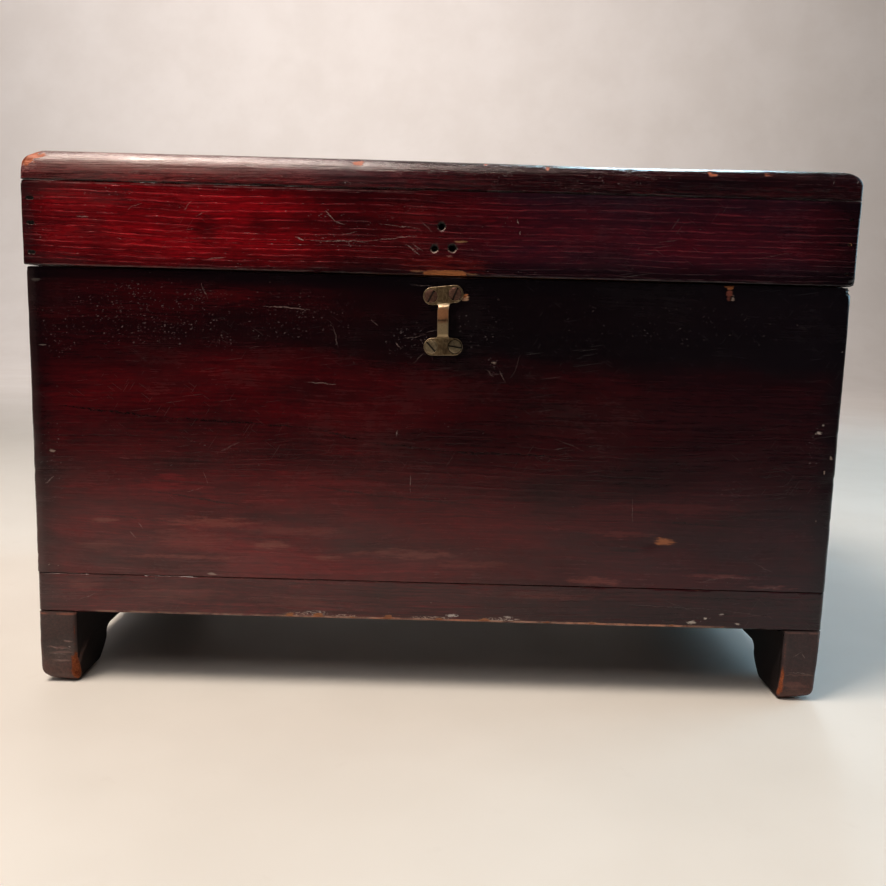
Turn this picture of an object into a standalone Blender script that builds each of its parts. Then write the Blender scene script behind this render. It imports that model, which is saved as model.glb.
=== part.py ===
"""A lacquered softwood document box with a hinged lid, standing on two arched side runners.

Frame: metres, +Z up, the front looks along -Y, +X is to the right of the front.
The origin is on the floor, under the middle of the whole box.
"""

import math

import bmesh
import bpy
from mathutils import Matrix, Vector

MM = 0.001

# ---- overall sizes -------------------------------------------------------
BODY_W = 404.0 * MM          # outside width of the carcase
BODY_D = 262.0 * MM          # outside depth of the carcase
WALL = 9.5 * MM              # thickness of the carcase and lid boards
LIP = 5.0 * MM               # what is left of a front or back board over its end rabbet
FIT = 0.3 * MM               # glue-line gap between two boards
RUNNER_H = 38.0 * MM         # height of the side runners
RUNNER_T = 18.8 * MM         # thickness of the side runners
RUNNER_PROUD = 0.4 * MM      # how far a runner stands out in front of the carcase
PAD_L = 28.5 * MM            # length of a runner's foot on the floor
ARCH_H = 15.5 * MM           # height of the arch between the feet of a runner
BASE_H = 20.1 * MM           # height of the base rails
PANEL_H = 154.1 * MM         # height of the boards above the base rails
BOTTOM_T = 9.0 * MM          # thickness of the bottom board
LID_GAP = 0.7 * MM           # gap between the rim and the closed lid
LID_OVER = 1.0 * MM          # how far the lid stands out at the front and the sides
LID_RAIL_H = 40.1 * MM       # height of the lid's rails
TOP_T = 14.7 * MM            # thickness of the lid's top board
TOP_ROUND = 8.0 * MM         # rounding of the top board's upper edge
CORNER = 1.6 * MM            # easing of the upright outside corners
EASE = 0.6 * MM              # easing of other edges

# ---- brass bridge keeper on the front -------------------------------------
KEEPER_X, KEEPER_DROP = 2.4 * MM, 21.3 * MM    # centre, across and below the rim
KEEPER_TURN = math.radians(1.2)                # it was screwed on a little askew
PLATE_TURN = {"upper": math.radians(5.8), "lower": math.radians(0.2)}    # and its upper plate is cut crooked
PLATE_W, PLATE_H, PLATE_T = 20.0 * MM, 8.6 * MM, 1.3 * MM
PLATE_APART = 25.1 * MM                        # between the middles of the two plates
STRAP_W, STRAP_T = 5.3 * MM, 1.3 * MM
STRAP_CLEAR = 4.5 * MM                         # room behind the strap
SEAT = 0.2 * MM                                # gap between the plates and the wood
KEEPER_SCREW_X = 5.9 * MM                      # screws left and right of the middle
KEEPER_SLOTS = {("upper", "left"): 62, ("upper", "right"): 68, ("lower", "left"): -47, ("lower", "right"): -8}

# ---- hinges ---------------------------------------------------------------
HINGE_X = 112.0 * MM
HINGE_L = 38.0 * MM
LEAF_T, LEAF_W = 1.2 * MM, 8.4 * MM
KNUCKLE_R, KNUCKLE_OFF = 2.3 * MM, 2.6 * MM    # its radius, and its axis behind the back face
PIN_R, PIN_HOLE_R = 1.0 * MM, 1.3 * MM
KNUCKLE_MID = 6.2 * MM                         # half the length of the lid leaf's knuckle
LEAF_SCREW_X, LEAF_SCREW_IN = 12.0 * MM, 4.4 * MM

# ---- levels and planes ----------------------------------------------------
KEEPER_OUT = SEAT + STRAP_CLEAR + STRAP_T
CY = (KEEPER_OUT - (KNUCKLE_OFF + KNUCKLE_R)) / 2   # puts the middle of the whole box on Y = 0
YF, YB = CY - BODY_D / 2, CY + BODY_D / 2
XO = BODY_W / 2
Z_BASE = RUNNER_H + FIT
Z_PANEL = Z_BASE + BASE_H + FIT
Z_RIM = Z_PANEL + PANEL_H
Z_LID = Z_RIM + LID_GAP
Z_TOP = Z_LID + LID_RAIL_H + FIT
Z_ALL = Z_TOP + TOP_T
LX = XO + LID_OVER
LYF = YF - LID_OVER
AXIS = Vector((0.0, YB + KNUCKLE_OFF, Z_RIM + LID_GAP / 2))

# nails: height above the lower edge of the board they go through
LID_NAIL_Z = (5.8 * MM, 19.8 * MM, 31.5 * MM)
PANEL_NAIL_Z = (14.0 * MM, 55.0 * MM, 98.0 * MM, 140.0 * MM)
NAIL_SET = 0.7 * MM          # nail heads are punched this far below the face
# empty screw holes of a lost catch in the lid's front: x, height above the rail's lower edge, radius
LOST_HOLES = ((0.5 * MM, 23.2 * MM, 1.9 * MM), (-2.7 * MM, 12.6 * MM, 1.75 * MM), (6.0 * MM, 13.0 * MM, 2.0 * MM))
WORN_X, WORN_H, WORN_IN = (-8.5 * MM, 13.7 * MM), 2.7 * MM, 1.5 * MM   # worn bevel under those holes

for old in list(bpy.data.objects):
    bpy.data.objects.remove(old, do_unlink=True)


# ---- helpers --------------------------------------------------------------
def material(name, rgb, roughness, metallic):
    mat = bpy.data.materials.new(name)
    mat.use_nodes = True
    shader = mat.node_tree.nodes["Principled BSDF"]
    shader.inputs["Base Color"].default_value = (*rgb, 1.0)
    shader.inputs["Roughness"].default_value = roughness
    shader.inputs["Metallic"].default_value = metallic
    mat.diffuse_color = (*rgb, 1.0)
    return mat


LACQUER = material("lacquered_wood", (0.075, 0.012, 0.012), 0.32, 0.0)
BARE = material("bare_wood", (0.36, 0.17, 0.08), 0.65, 0.0)
BRASS = material("brass", (0.42, 0.33, 0.16), 0.42, 1.0)
STEEL = material("iron", (0.10, 0.09, 0.085), 0.55, 1.0)


def empty(name, at):
    e = bpy.data.objects.new(name, None)
    bpy.context.scene.collection.objects.link(e)
    e.location = at
    return e


CHEST = empty("chest", (0, 0, 0))
LID = empty("lid_axis", AXIS)


def put(name, bm, mat, parent, at, smooth=False):
    """One object from a bmesh whose points are counted from `at`, in world axes."""
    bmesh.ops.recalc_face_normals(bm, faces=bm.faces)
    mesh = bpy.data.meshes.new(name)
    bm.to_mesh(mesh)
    bm.free()
    obj = bpy.data.objects.new(name, mesh)
    bpy.context.scene.collection.objects.link(obj)
    if mat is not None:
        mesh.materials.append(mat)
    if parent is not None:
        obj.parent = parent
        obj.location = Vector(at) - Vector(parent.location)
    else:
        obj.location = at
    if smooth:
        mesh.shade_smooth()
        mesh.set_sharp_from_angle(angle=math.radians(35))
    return obj


def prism(points, axis, low, high):
    """A closed outline in the plane across `axis`, pushed from low to high along it."""
    bm = bmesh.new()
    place = {
        "X": lambda a, b, t: (t, a, b),
        "Y": lambda a, b, t: (a, t, b),
        "Z": lambda a, b, t: (a, b, t),
    }[axis]
    near = [bm.verts.new(place(a, b, low)) for a, b in points]
    far = [bm.verts.new(place(a, b, high)) for a, b in points]
    n = len(points)
    bm.faces.new(near)
    bm.faces.new(far[::-1])
    for i in range(n):
        bm.faces.new((near[i], far[i], far[(i + 1) % n], near[(i + 1) % n]))
    bmesh.ops.recalc_face_normals(bm, faces=bm.faces)
    return bm


def block(x0, x1, y0, y1, z0, z1):
    return prism([(x0, y0), (x1, y0), (x1, y1), (x0, y1)], "Z", z0, z1)


def ease(bm, width, chosen, segments=1):
    """Bevels the edges whose middle point passes `chosen`."""
    edges = [e for e in bm.edges if chosen((e.verts[0].co + e.verts[1].co) / 2, e.verts[1].co - e.verts[0].co)]
    bmesh.ops.bevel(bm, geom=edges, offset=width, offset_type="OFFSET", segments=segments, profile=0.5, affect="EDGES", clamp_overlap=True)


def turned(profile, sides):
    """A closed turned solid about +Z. The profile's (radius, z) points run from the top of the axis to the bottom."""
    bm = bmesh.new()
    rings = []
    for r, z in profile:
        if r < 1e-9:
            rings.append([bm.verts.new((0, 0, z))])
        else:
            rings.append([bm.verts.new((r * math.cos(2 * math.pi * k / sides), r * math.sin(2 * math.pi * k / sides), z)) for k in range(sides)])
    for a, b in zip(rings, rings[1:]):
        for k in range(sides):
            j = (k + 1) % sides
            ring = [a[0], b[k], b[j]] if len(a) == 1 else [a[k], b[0], a[j]] if len(b) == 1 else [a[k], b[k], b[j], a[j]]
            bm.faces.new(ring)
    bmesh.ops.recalc_face_normals(bm, faces=bm.faces)
    return bm


def moved(bm, matrix):
    bmesh.ops.transform(bm, matrix=matrix, verts=bm.verts)
    return bm


def merged(bms):
    """Several closed shapes in one mesh, to cut with."""
    out = bmesh.new()
    for bm in bms:
        mesh = bpy.data.meshes.new("shape")
        bm.to_mesh(mesh)
        bm.free()
        out.from_mesh(mesh)
        bpy.data.meshes.remove(mesh)
    return out


def boolean(obj, bms, operation="DIFFERENCE", parent=None):
    """Cuts the shapes, given in world axes and place, from the object, or joins them to it."""
    tool = put(obj.name + "_" + operation.lower() + "_tool", merged(bms), None, None, (0, 0, 0))
    tool.hide_render = True
    tool.display_type = "WIRE"
    m = obj.modifiers.new(operation.lower(), "BOOLEAN")
    m.operation = operation
    m.solver = "EXACT"
    m.object = tool
    return obj


FRONT = Matrix.Rotation(math.radians(90), 4, "X")      # turns +Z to -Y: a fastener driven in from the front
DOWN = Matrix.Identity(4)                              # head up, driven down
UP = Matrix.Rotation(math.radians(180), 4, "X")        # head down, driven up


def at(point, turn):
    return Matrix.Translation(point) @ turn


def rod(r, top, bottom, sides=12):
    return turned([(0, top), (r, top), (r, bottom), (0, bottom)], sides)


# ---- fasteners ------------------------------------------------------------
def nail(name, parent, head_at, turn, length=20.0 * MM):
    """A round nail; its head's top is the origin."""
    bm = turned([(0, 0), (1.4 * MM, 0), (1.4 * MM, -0.5 * MM), (0.95 * MM, -0.8 * MM), (0.95 * MM, -length + 2 * MM), (0, -length)], 10)
    return put(name, moved(bm, turn), STEEL, parent, head_at, smooth=True)


def screw(name, parent, head_at, turn, head_r, dome, shank_r, length, slot_deg, mat=None, slot_w=0.75 * MM, slot_d=0.7 * MM, sides=18):
    """A slotted countersunk wood screw. The rim of its head is the origin; `dome` is how far the head rises over it."""
    cone = head_r - shank_r
    profile = [(0, dome)]
    if dome > 0.05 * MM:
        profile += [(head_r * 0.55, dome * 0.78), (head_r * 0.88, dome * 0.30)]
    else:
        profile += [(head_r * 0.9, dome)]
    profile += [(head_r, 0.0), (head_r, -0.12 * MM), (shank_r, -0.12 * MM - cone), (shank_r, -length + 2.2 * MM), (0, -length)]
    bm = moved(turned(profile, sides), turn)
    obj = put(name, bm, mat or BRASS, parent, head_at, smooth=True)
    slot = block(-1.3 * head_r, 1.3 * head_r, -slot_w / 2, slot_w / 2, dome - slot_d, dome + 1 * MM)
    boolean(obj, [moved(slot, Matrix.Translation(head_at) @ turn @ Matrix.Rotation(math.radians(slot_deg), 4, "Z"))])
    return obj


def countersink(head_at, turn, head_r, shank_r, through):
    """The hole that a screw's head sits in, with a little room around it."""
    room = 0.25 * MM
    cone = head_r - shank_r
    profile = [(0, 2 * MM), (head_r + room, 2 * MM), (head_r + room, -0.12 * MM), (shank_r + room, -0.12 * MM - cone), (shank_r + room, -through), (0, -through)]
    return moved(turned(profile, 18), at(head_at, turn))


# ---- carcase boards -------------------------------------------------------
def wide_board(name, half_w, outer, inward, z0, z1, parent, mat=LACQUER, side_t=WALL):
    """A front or back board. Its ends are rabbeted on the inside for the side boards; `inward` is +1 for a front board and -1 for a back one."""
    s = half_w - side_t - FIT
    t = lambda d: outer + inward * d
    plan = [(-half_w, t(0)), (half_w, t(0)), (half_w, t(LIP)), (s, t(LIP)), (s, t(WALL)), (-s, t(WALL)), (-s, t(LIP)), (-half_w, t(LIP))]
    bm = prism(plan, "Z", z0, z1)
    ease(bm, CORNER, lambda m, d: abs(d.z) > 0.001 and abs(abs(m.x) - half_w) < 1e-5 and abs(m.y - outer) < 1e-5, 2)
    mid = Vector((0, t(WALL / 2), (z0 + z1) / 2))
    return put(name, moved(bm, Matrix.Translation(-mid)), mat, parent, mid)


def side_board(name, sign, half_w, y0, y1, z0, z1, parent, mat=LACQUER):
    x0, x1 = sorted((sign * half_w, sign * (half_w - WALL)))
    bm = block(x0, x1, y0 + LIP + FIT, y1 - LIP - FIT, z0, z1)
    mid = Vector(((x0 + x1) / 2, (y0 + y1) / 2, (z0 + z1) / 2))
    return put(name, moved(bm, Matrix.Translation(-mid)), mat, parent, mid)


front_panel = wide_board("front_panel", XO, YF, 1, Z_PANEL, Z_RIM, CHEST)
back_panel = wide_board("back_panel", XO, YB, -1, Z_PANEL, Z_RIM, CHEST)
left_side_panel = side_board("left_side_panel", -1, XO, YF, YB, Z_PANEL, Z_RIM, CHEST)
right_side_panel = side_board("right_side_panel", 1, XO, YF, YB, Z_PANEL, Z_RIM, CHEST)
base_rail_front = wide_board("base_rail_front", XO, YF, 1, Z_BASE, Z_BASE + BASE_H, CHEST)
base_rail_back = wide_board("base_rail_back", XO, YB, -1, Z_BASE, Z_BASE + BASE_H, CHEST)
base_rail_left = side_board("base_rail_left", -1, XO, YF, YB, Z_BASE, Z_BASE + BASE_H, CHEST)
base_rail_right = side_board("base_rail_right", 1, XO, YF, YB, Z_BASE, Z_BASE + BASE_H, CHEST)

bottom_mid = Vector((0, CY, Z_BASE + BOTTOM_T / 2))
bx, by = XO - WALL - FIT, BODY_D / 2 - WALL - FIT
bottom_board = put("bottom_board", block(-bx, bx, -by, by, -BOTTOM_T / 2, BOTTOM_T / 2), BARE, CHEST, bottom_mid)


# ---- runners --------------------------------------------------------------
def runner_outline():
    """A runner from the side, (y, z): two feet joined over a low arch. Each foot's inner end swells out and then turns into the arch."""
    half = BODY_D / 2 + RUNNER_PROUD
    curve = []                                   # the inner end of the front foot, going up
    steps = 7
    for i in range(steps + 1):
        t = i / steps
        z = ARCH_H * 0.80 * t
        curve.append((-half + PAD_L + 14.5 * MM * math.sin(t * math.pi / 2) ** 1.15, z))
    step_in = curve[-1][0]
    curve += [(step_in + 1.8 * MM, ARCH_H * 0.94), (step_in + 5.5 * MM, ARCH_H)]
    toe = [(0.0, 5.0), (0.5, 3.0), (1.6, 1.4), (3.2, 0.4), (5.0, 0.0)]
    front = [(-half, RUNNER_H)] + [(-half + y * MM, z * MM) for y, z in toe] + curve
    back = [(-y, z) for y, z in reversed(front)]
    return front + back


def runner(name, sign):
    outer = sign * XO
    x0, x1 = sorted((outer, outer - sign * RUNNER_T))
    mid = Vector(((x0 + x1) / 2, CY, 0))
    bm = prism(runner_outline(), "X", x0 - mid.x, x1 - mid.x)
    half = RUNNER_T / 2
    # the outside edges of each foot are worn round
    ease(bm, 2.2 * MM, lambda m, d: abs(m.x - sign * half) < 1e-5 and abs(d.x) < 1e-6 and m.z < RUNNER_H - 1e-5 and abs(m.y) > BODY_D / 2 - PAD_L + 1 * MM, 2)
    return put(name, bm, LACQUER, CHEST, mid)


left_runner = runner("left_runner", -1)
right_runner = runner("right_runner", 1)

RUNNER_SCREW_Y = 68.0 * MM
runner_screw_r = 1.7 * MM
for side, sign, board in (("left", -1, left_runner), ("right", 1, right_runner)):
    holes, pilots = [], []
    for place, ysign in (("front", -1), ("back", 1)):
        head = Vector((sign * (XO - RUNNER_T + 4.4 * MM), CY + ysign * RUNNER_SCREW_Y, ARCH_H + 0.25 * MM))
        screw(f"runner_screw_{side}_{place}", CHEST, head, UP, 3.2 * MM, 0.0, runner_screw_r, 28.0 * MM, 20 + 35 * ysign, STEEL, slot_w=0.8 * MM, slot_d=0.8 * MM, sides=14)
        holes.append(countersink(head, UP, 3.2 * MM, runner_screw_r, 40 * MM))
    boolean(board, holes)

boolean(bottom_board, [
    moved(rod(runner_screw_r + 0.3 * MM, 0, -14 * MM), at(Vector((s * (XO - RUNNER_T + 4.4 * MM), CY + t * RUNNER_SCREW_Y, Z_BASE - 7.0 * MM)), UP))
    for s in (-1, 1) for t in (-1, 1)
])

# ---- lid ------------------------------------------------------------------
lid_front_rail = wide_board("lid_front_rail", LX, LYF, 1, Z_LID, Z_LID + LID_RAIL_H, LID)
lid_back_rail = wide_board("lid_back_rail", LX, YB, -1, Z_LID, Z_LID + LID_RAIL_H, LID)
lid_left_rail = side_board("lid_left_rail", -1, LX, LYF, YB, Z_LID, Z_LID + LID_RAIL_H, LID)
lid_right_rail = side_board("lid_right_rail", 1, LX, LYF, YB, Z_LID, Z_LID + LID_RAIL_H, LID)

top_mid = Vector((0, (LYF + YB) / 2, Z_TOP + TOP_T / 2))
ty = (YB - LYF) / 2
top_bm = block(-LX, LX, -ty, ty, -TOP_T / 2, TOP_T / 2)
ease(top_bm, 2.4 * MM, lambda m, d: abs(d.z) > 0.001, 2)
ease(top_bm, TOP_ROUND, lambda m, d: m.z > TOP_T / 2 - 1e-6 and abs(d.z) < 1e-6 and (abs(abs(m.x) - LX) < 3 * MM or abs(abs(m.y) - ty) < 3 * MM), 5)
lid_top_board = put("lid_top_board", top_bm, LACQUER, LID, top_mid)

# ---- nails through the front boards' ends ---------------------------------
panel_holes, side_holes = [], {-1: [], 1: []}
for side, sign in (("left", -1), ("right", 1)):
    for i, h in enumerate(PANEL_NAIL_Z, 1):
        head = Vector((sign * (XO - WALL / 2), YF + NAIL_SET, Z_PANEL + h))
        nail(f"front_nail_{side}_{i}", CHEST, head, FRONT)
        panel_holes.append(moved(rod(1.7 * MM, 3 * MM, -7 * MM), at(head, FRONT)))
        side_holes[sign].append(moved(rod(1.25 * MM, -3 * MM, -21 * MM), at(head, FRONT)))
boolean(left_side_panel, side_holes[-1])
boolean(right_side_panel, side_holes[1])

rail_holes, lid_side_holes = [], {-1: [], 1: []}
for side, sign in (("left", -1), ("right", 1)):
    for i, h in enumerate(LID_NAIL_Z, 1):
        head = Vector((sign * (LX - WALL / 2), LYF + NAIL_SET, Z_LID + h))
        nail(f"lid_nail_{side}_{i}", LID, head, FRONT)
        rail_holes.append(moved(rod(1.7 * MM, 3 * MM, -7 * MM), at(head, FRONT)))
        lid_side_holes[sign].append(moved(rod(1.25 * MM, -3 * MM, -21 * MM), at(head, FRONT)))
boolean(lid_left_rail, lid_side_holes[-1])
boolean(lid_right_rail, lid_side_holes[1])

# the lost catch: its empty screw holes, and the bevel that it wore in the rail's lower edge
for x, h, r in LOST_HOLES:
    rail_holes.append(moved(rod(r, 3 * MM, -7.5 * MM, 14), at(Vector((x, LYF, Z_LID + h)), FRONT)))
worn = [(LYF - 1 * MM, Z_LID - 1 * MM), (LYF + WORN_IN, Z_LID - 1 * MM), (LYF + WORN_IN, Z_LID), (LYF, Z_LID + WORN_H), (LYF - 1 * MM, Z_LID + WORN_H)]
rail_holes.append(prism(worn, "X", *WORN_X))
boolean(lid_front_rail, rail_holes)


# ---- keeper ---------------------------------------------------------------
def stadium(width, height, y0, y1, z, sides=9):
    r = height / 2
    c = width / 2 - r
    pts = [(c + r * math.cos(a), z + r * math.sin(a)) for a in (math.pi * (k / sides - 0.5) for k in range(sides + 1))]
    pts += [(-c + r * math.cos(a), z + r * math.sin(a)) for a in (math.pi * (k / sides + 0.5) for k in range(sides + 1))]
    return prism(pts, "Y", y0, y1)


def strap():
    """The bridge between the plates: a strip that leaves each plate, bends out, and runs a little bowed over the gap."""
    half = PLATE_APART / 2
    path = []
    for i in range(25):
        t = -1 + 2 * i / 24
        z = t * half
        s = min(1.0, max(0.0, (1 - abs(t)) / 0.34 - 0.42))
        rise = s * s * (3 - 2 * s)
        path.append((rise * (0.90 + 0.10 * math.cos(t * math.pi / 2)) * STRAP_CLEAR, z))
    normals = []
    for i, (h, z) in enumerate(path):
        a, b = path[max(0, i - 1)], path[min(len(path) - 1, i + 1)]
        dh, dz = b[0] - a[0], b[1] - a[1]
        n = math.hypot(dh, dz)
        normals.append((dz / n, -dh / n))
    inner = [(-SEAT - h, z) for h, z in path]
    outer = [(-SEAT - h - STRAP_T * nh, z + STRAP_T * nz) for (h, z), (nh, nz) in zip(path, normals)]
    return prism(inner + outer[::-1], "X", -STRAP_W / 2, STRAP_W / 2)


keeper_at = Vector((KEEPER_X, YF, Z_RIM - KEEPER_DROP))
keeper_turn = Matrix.Rotation(-KEEPER_TURN, 4, "Y")
up = PLATE_APART / 2
plate_turn = {row: keeper_turn @ Matrix.Translation((0, 0, z)) @ Matrix.Rotation(-PLATE_TURN[row], 4, "Y") for row, z in (("upper", up), ("lower", -up))}
keeper = put("keeper_bridge", moved(stadium(PLATE_W, PLATE_H, -SEAT - PLATE_T, -SEAT, 0.0), plate_turn["upper"]), BRASS, CHEST, keeper_at, smooth=True)
boolean(keeper, [moved(stadium(PLATE_W - 1.0 * MM, PLATE_H, -SEAT - PLATE_T, -SEAT, 0.0), at(keeper_at, plate_turn["lower"]))], "UNION").modifiers[-1].name = "lower_plate"
boolean(keeper, [moved(strap(), at(keeper_at, keeper_turn))], "UNION").modifiers[-1].name = "strap"
sinks, pilots = [], []
for row in ("upper", "lower"):
    for side, sign in (("left", -1), ("right", 1)):
        spot = keeper_at + plate_turn[row] @ Vector((sign * KEEPER_SCREW_X, -SEAT - PLATE_T, 0.0))
        screw(f"keeper_screw_{row}_{side}", CHEST, spot, FRONT, 3.15 * MM, 0.75 * MM, 1.45 * MM, 9.0 * MM, KEEPER_SLOTS[row, side], slot_w=0.8 * MM, slot_d=0.85 * MM)
        sinks.append(countersink(spot, FRONT, 3.15 * MM, 1.45 * MM, 4 * MM))
        panel_holes.append(moved(rod(2.1 * MM, 2 * MM, -9.0 * MM, 12), at(spot, FRONT)))
boolean(keeper, sinks)
boolean(front_panel, panel_holes)


# ---- hinges ---------------------------------------------------------------
def rolled(flip):
    """A knuckle from its end, (y, z) from the pin's axis: the leaf's edge rolled round the pin, leaving a slit where it comes back to the leaf."""
    low, high = LID_GAP / 2 + 0.05 * MM, LID_GAP / 2 + LEAF_T - 0.05 * MM
    start = -KNUCKLE_OFF - 2.0 * MM
    first = math.pi - math.asin(high / KNUCKLE_R)
    last = -math.radians(168)
    inner_last = math.pi - math.asin(low / PIN_HOLE_R)
    outer = [first + (last - first) * k / 18 for k in range(19)]
    inner = [last + (inner_last - last) * k / 16 for k in range(17)]
    pts = [(start, high)]
    pts += [(KNUCKLE_R * math.cos(a), KNUCKLE_R * math.sin(a)) for a in outer]
    pts += [(PIN_HOLE_R * math.cos(a), PIN_HOLE_R * math.sin(a)) for a in inner]
    pts += [(start, low)]
    return [(AXIS.y + y, AXIS.z + flip * z) for y, z in pts]


def leaf(name, hx, lid):
    """A hinge leaf let into the rim (or into the lid's lower edge), with its knuckles."""
    z0, z1 = (Z_LID, Z_LID + LEAF_T) if lid else (Z_RIM - LEAF_T, Z_RIM)
    half = HINGE_L / 2
    knuckles = [(-KNUCKLE_MID, KNUCKLE_MID)] if lid else [(-half, -KNUCKLE_MID - FIT), (KNUCKLE_MID + FIT, half)]
    origin = Vector((hx, YB, (z0 + z1) / 2))
    plate = block(-half, half, -LEAF_W, 0.0, -LEAF_T / 2, LEAF_T / 2)
    obj = put(name, plate, BRASS, LID if lid else CHEST, origin)
    for k in (-1, 1):
        spot = Vector((hx + k * LEAF_SCREW_X, YB - LEAF_SCREW_IN, z0 if lid else z1))
        spot.z += 0.08 * MM if lid else -0.08 * MM
        turn = UP if lid else DOWN
        screw(f"{name.replace('_leaf', '')}_screw_{'ab'[k > 0]}", LID if lid else CHEST, spot, turn, 2.15 * MM, 0.0, 1.05 * MM, 10.0 * MM, 25 + 50 * k, slot_w=0.6 * MM, slot_d=0.45 * MM, sides=14)
        boolean(obj, [countersink(spot, turn, 2.15 * MM, 1.05 * MM, 5 * MM)]).modifiers[-1].name = "countersink_" + "ab"[k > 0]
    for i, (a, b) in enumerate(knuckles):
        trim = 0.02 * MM
        roll = prism(rolled(1 if lid else -1), "X", hx + a + trim, hx + b - trim)
        boolean(obj, [roll], "UNION").modifiers[-1].name = f"knuckle_{i}"
    return obj


body_mortises, lid_mortises = [], []
for side, hx in (("left", -HINGE_X), ("right", HINGE_X)):
    leaf(f"hinge_{side}_body_leaf", hx, False)
    leaf(f"hinge_{side}_lid_leaf", hx, True)
    pin = rod(PIN_R, HINGE_L / 2, -HINGE_L / 2, 16)
    put(f"hinge_{side}_pin", moved(pin, Matrix.Rotation(math.radians(90), 4, "Y")), BRASS, CHEST, Vector((hx, AXIS.y, AXIS.z)), smooth=True)
    h, w = HINGE_L / 2 + FIT, LEAF_W + FIT
    body_mortises.append(block(hx - h, hx + h, YB - w, YB + 2 * MM, Z_RIM - LEAF_T - FIT, Z_RIM + 2 * MM))
    lid_mortises.append(block(hx - h, hx + h, YB - w, YB + 2 * MM, Z_LID - 2 * MM, Z_LID + LEAF_T + FIT))
    for k in (-1, 1):
        x, y = hx + k * LEAF_SCREW_X, YB - LEAF_SCREW_IN
        body_mortises.append(moved(rod(1.35 * MM, -LEAF_T, -11.5 * MM), at(Vector((x, y, Z_RIM)), DOWN)))
        lid_mortises.append(moved(rod(1.35 * MM, -LEAF_T, -11.5 * MM), at(Vector((x, y, Z_LID)), UP)))
# mortises and pilot holes overlap, so they are cut in turn
for board, cuts in ((back_panel, body_mortises), (lid_back_rail, lid_mortises)):
    boolean(board, cuts[0::3]).modifiers[-1].name = "mortises"
    boolean(board, cuts[1::3] + cuts[2::3]).modifiers[-1].name = "pilot_holes"

bpy.context.view_layer.update()
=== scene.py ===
"""Visual model of a worn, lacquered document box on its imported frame."""

import math

import bmesh
import bpy
from mathutils import Matrix, Vector, noise


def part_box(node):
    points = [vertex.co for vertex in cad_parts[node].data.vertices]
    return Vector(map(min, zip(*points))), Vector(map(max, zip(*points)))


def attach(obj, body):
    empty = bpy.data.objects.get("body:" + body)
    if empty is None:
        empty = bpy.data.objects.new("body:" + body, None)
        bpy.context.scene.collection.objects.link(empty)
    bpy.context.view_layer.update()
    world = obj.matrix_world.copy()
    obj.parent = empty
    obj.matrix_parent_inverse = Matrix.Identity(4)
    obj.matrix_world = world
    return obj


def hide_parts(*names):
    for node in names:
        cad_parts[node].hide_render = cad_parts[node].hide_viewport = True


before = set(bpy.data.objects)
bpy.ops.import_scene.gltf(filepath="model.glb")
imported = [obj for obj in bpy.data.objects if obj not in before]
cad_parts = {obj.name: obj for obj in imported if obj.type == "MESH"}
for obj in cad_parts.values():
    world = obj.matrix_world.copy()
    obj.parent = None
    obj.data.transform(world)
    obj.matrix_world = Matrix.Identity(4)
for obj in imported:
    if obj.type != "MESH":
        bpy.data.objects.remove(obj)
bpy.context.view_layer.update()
MM = 0.001
SCENE = bpy.context.scene


def span(node):
    """A CAD node's box in millimetres: x0, x1, y0, y1, z0, z1."""
    lo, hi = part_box(node)
    return tuple(v / MM for pair in zip(lo, hi) for v in pair)


FX0, FX1, YF, _, PZ0, RIM = span("front_panel")          # carcase front board
_, _, _, YB, _, _ = span("back_panel")
_, _, _, _, BZ0, BZ1 = span("base_rail_front")
LX0, LX1, LYF, _, LZ0, LZ1 = span("lid_front_rail")
_, _, _, _, TZ0, TZ1 = span("lid_top_board")
_, _, RY0, RY1, _, RZ1 = span("left_runner")
CY = (YF + YB) / 2
WALL, LIP, FIT = 9.5, 5.0, 0.3


# ---------------------------------------------------------------------------
# geometry helpers (all in millimetres until the mesh is written)
# ---------------------------------------------------------------------------
def n1(x, y, z, seed=0.0):
    return noise.noise(Vector((x + 17.3 * seed, y - 9.1 * seed, z + 5.7 * seed)))


def smooth(a, lo, hi):
    t = min(1.0, max(0.0, (a - lo) / (hi - lo)))
    return t * t * (3 - 2 * t)


class Piece:
    """A mesh under construction, with the wear attributes that its material reads."""

    def __init__(self, name):
        self.name = name
        self.co, self.faces = [], []
        self.attrs = {"edge": [], "bare": [], "inner": []}

    def add(self, p, edge=0.0, bare=0.0, inner=0.0):
        self.co.append(p)
        self.attrs["edge"].append(min(1.0, max(0.0, edge)))
        self.attrs["bare"].append(min(1.0, max(0.0, bare)))
        self.attrs["inner"].append(min(1.0, max(0.0, inner)))
        return len(self.co) - 1

    def build(self, material, body, nodes, slot, smooth_angle=40):
        mesh = bpy.data.meshes.new(self.name)
        mesh.from_pydata([tuple(c * MM for c in p) for p in self.co], [], self.faces)
        for key, values in self.attrs.items():
            a = mesh.attributes.new(key, "FLOAT", "POINT")
            a.data.foreach_set("value", values)
        bm = bmesh.new()
        bm.from_mesh(mesh)
        bmesh.ops.recalc_face_normals(bm, faces=bm.faces)
        bm.to_mesh(mesh)
        bm.free()
        return finish_object(mesh, self.name, material, body, nodes, smooth_angle)


def finish_object(mesh, name, material, body, nodes, smooth_angle=40):
    mesh.shade_smooth()
    if smooth_angle:
        mesh.set_sharp_from_angle(angle=math.radians(smooth_angle))
    obj = bpy.data.objects.new(name, mesh)
    SCENE.collection.objects.link(obj)
    mesh.materials.append(material)
    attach(obj, body)
    if nodes:
        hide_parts(*nodes)
    return obj


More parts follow.
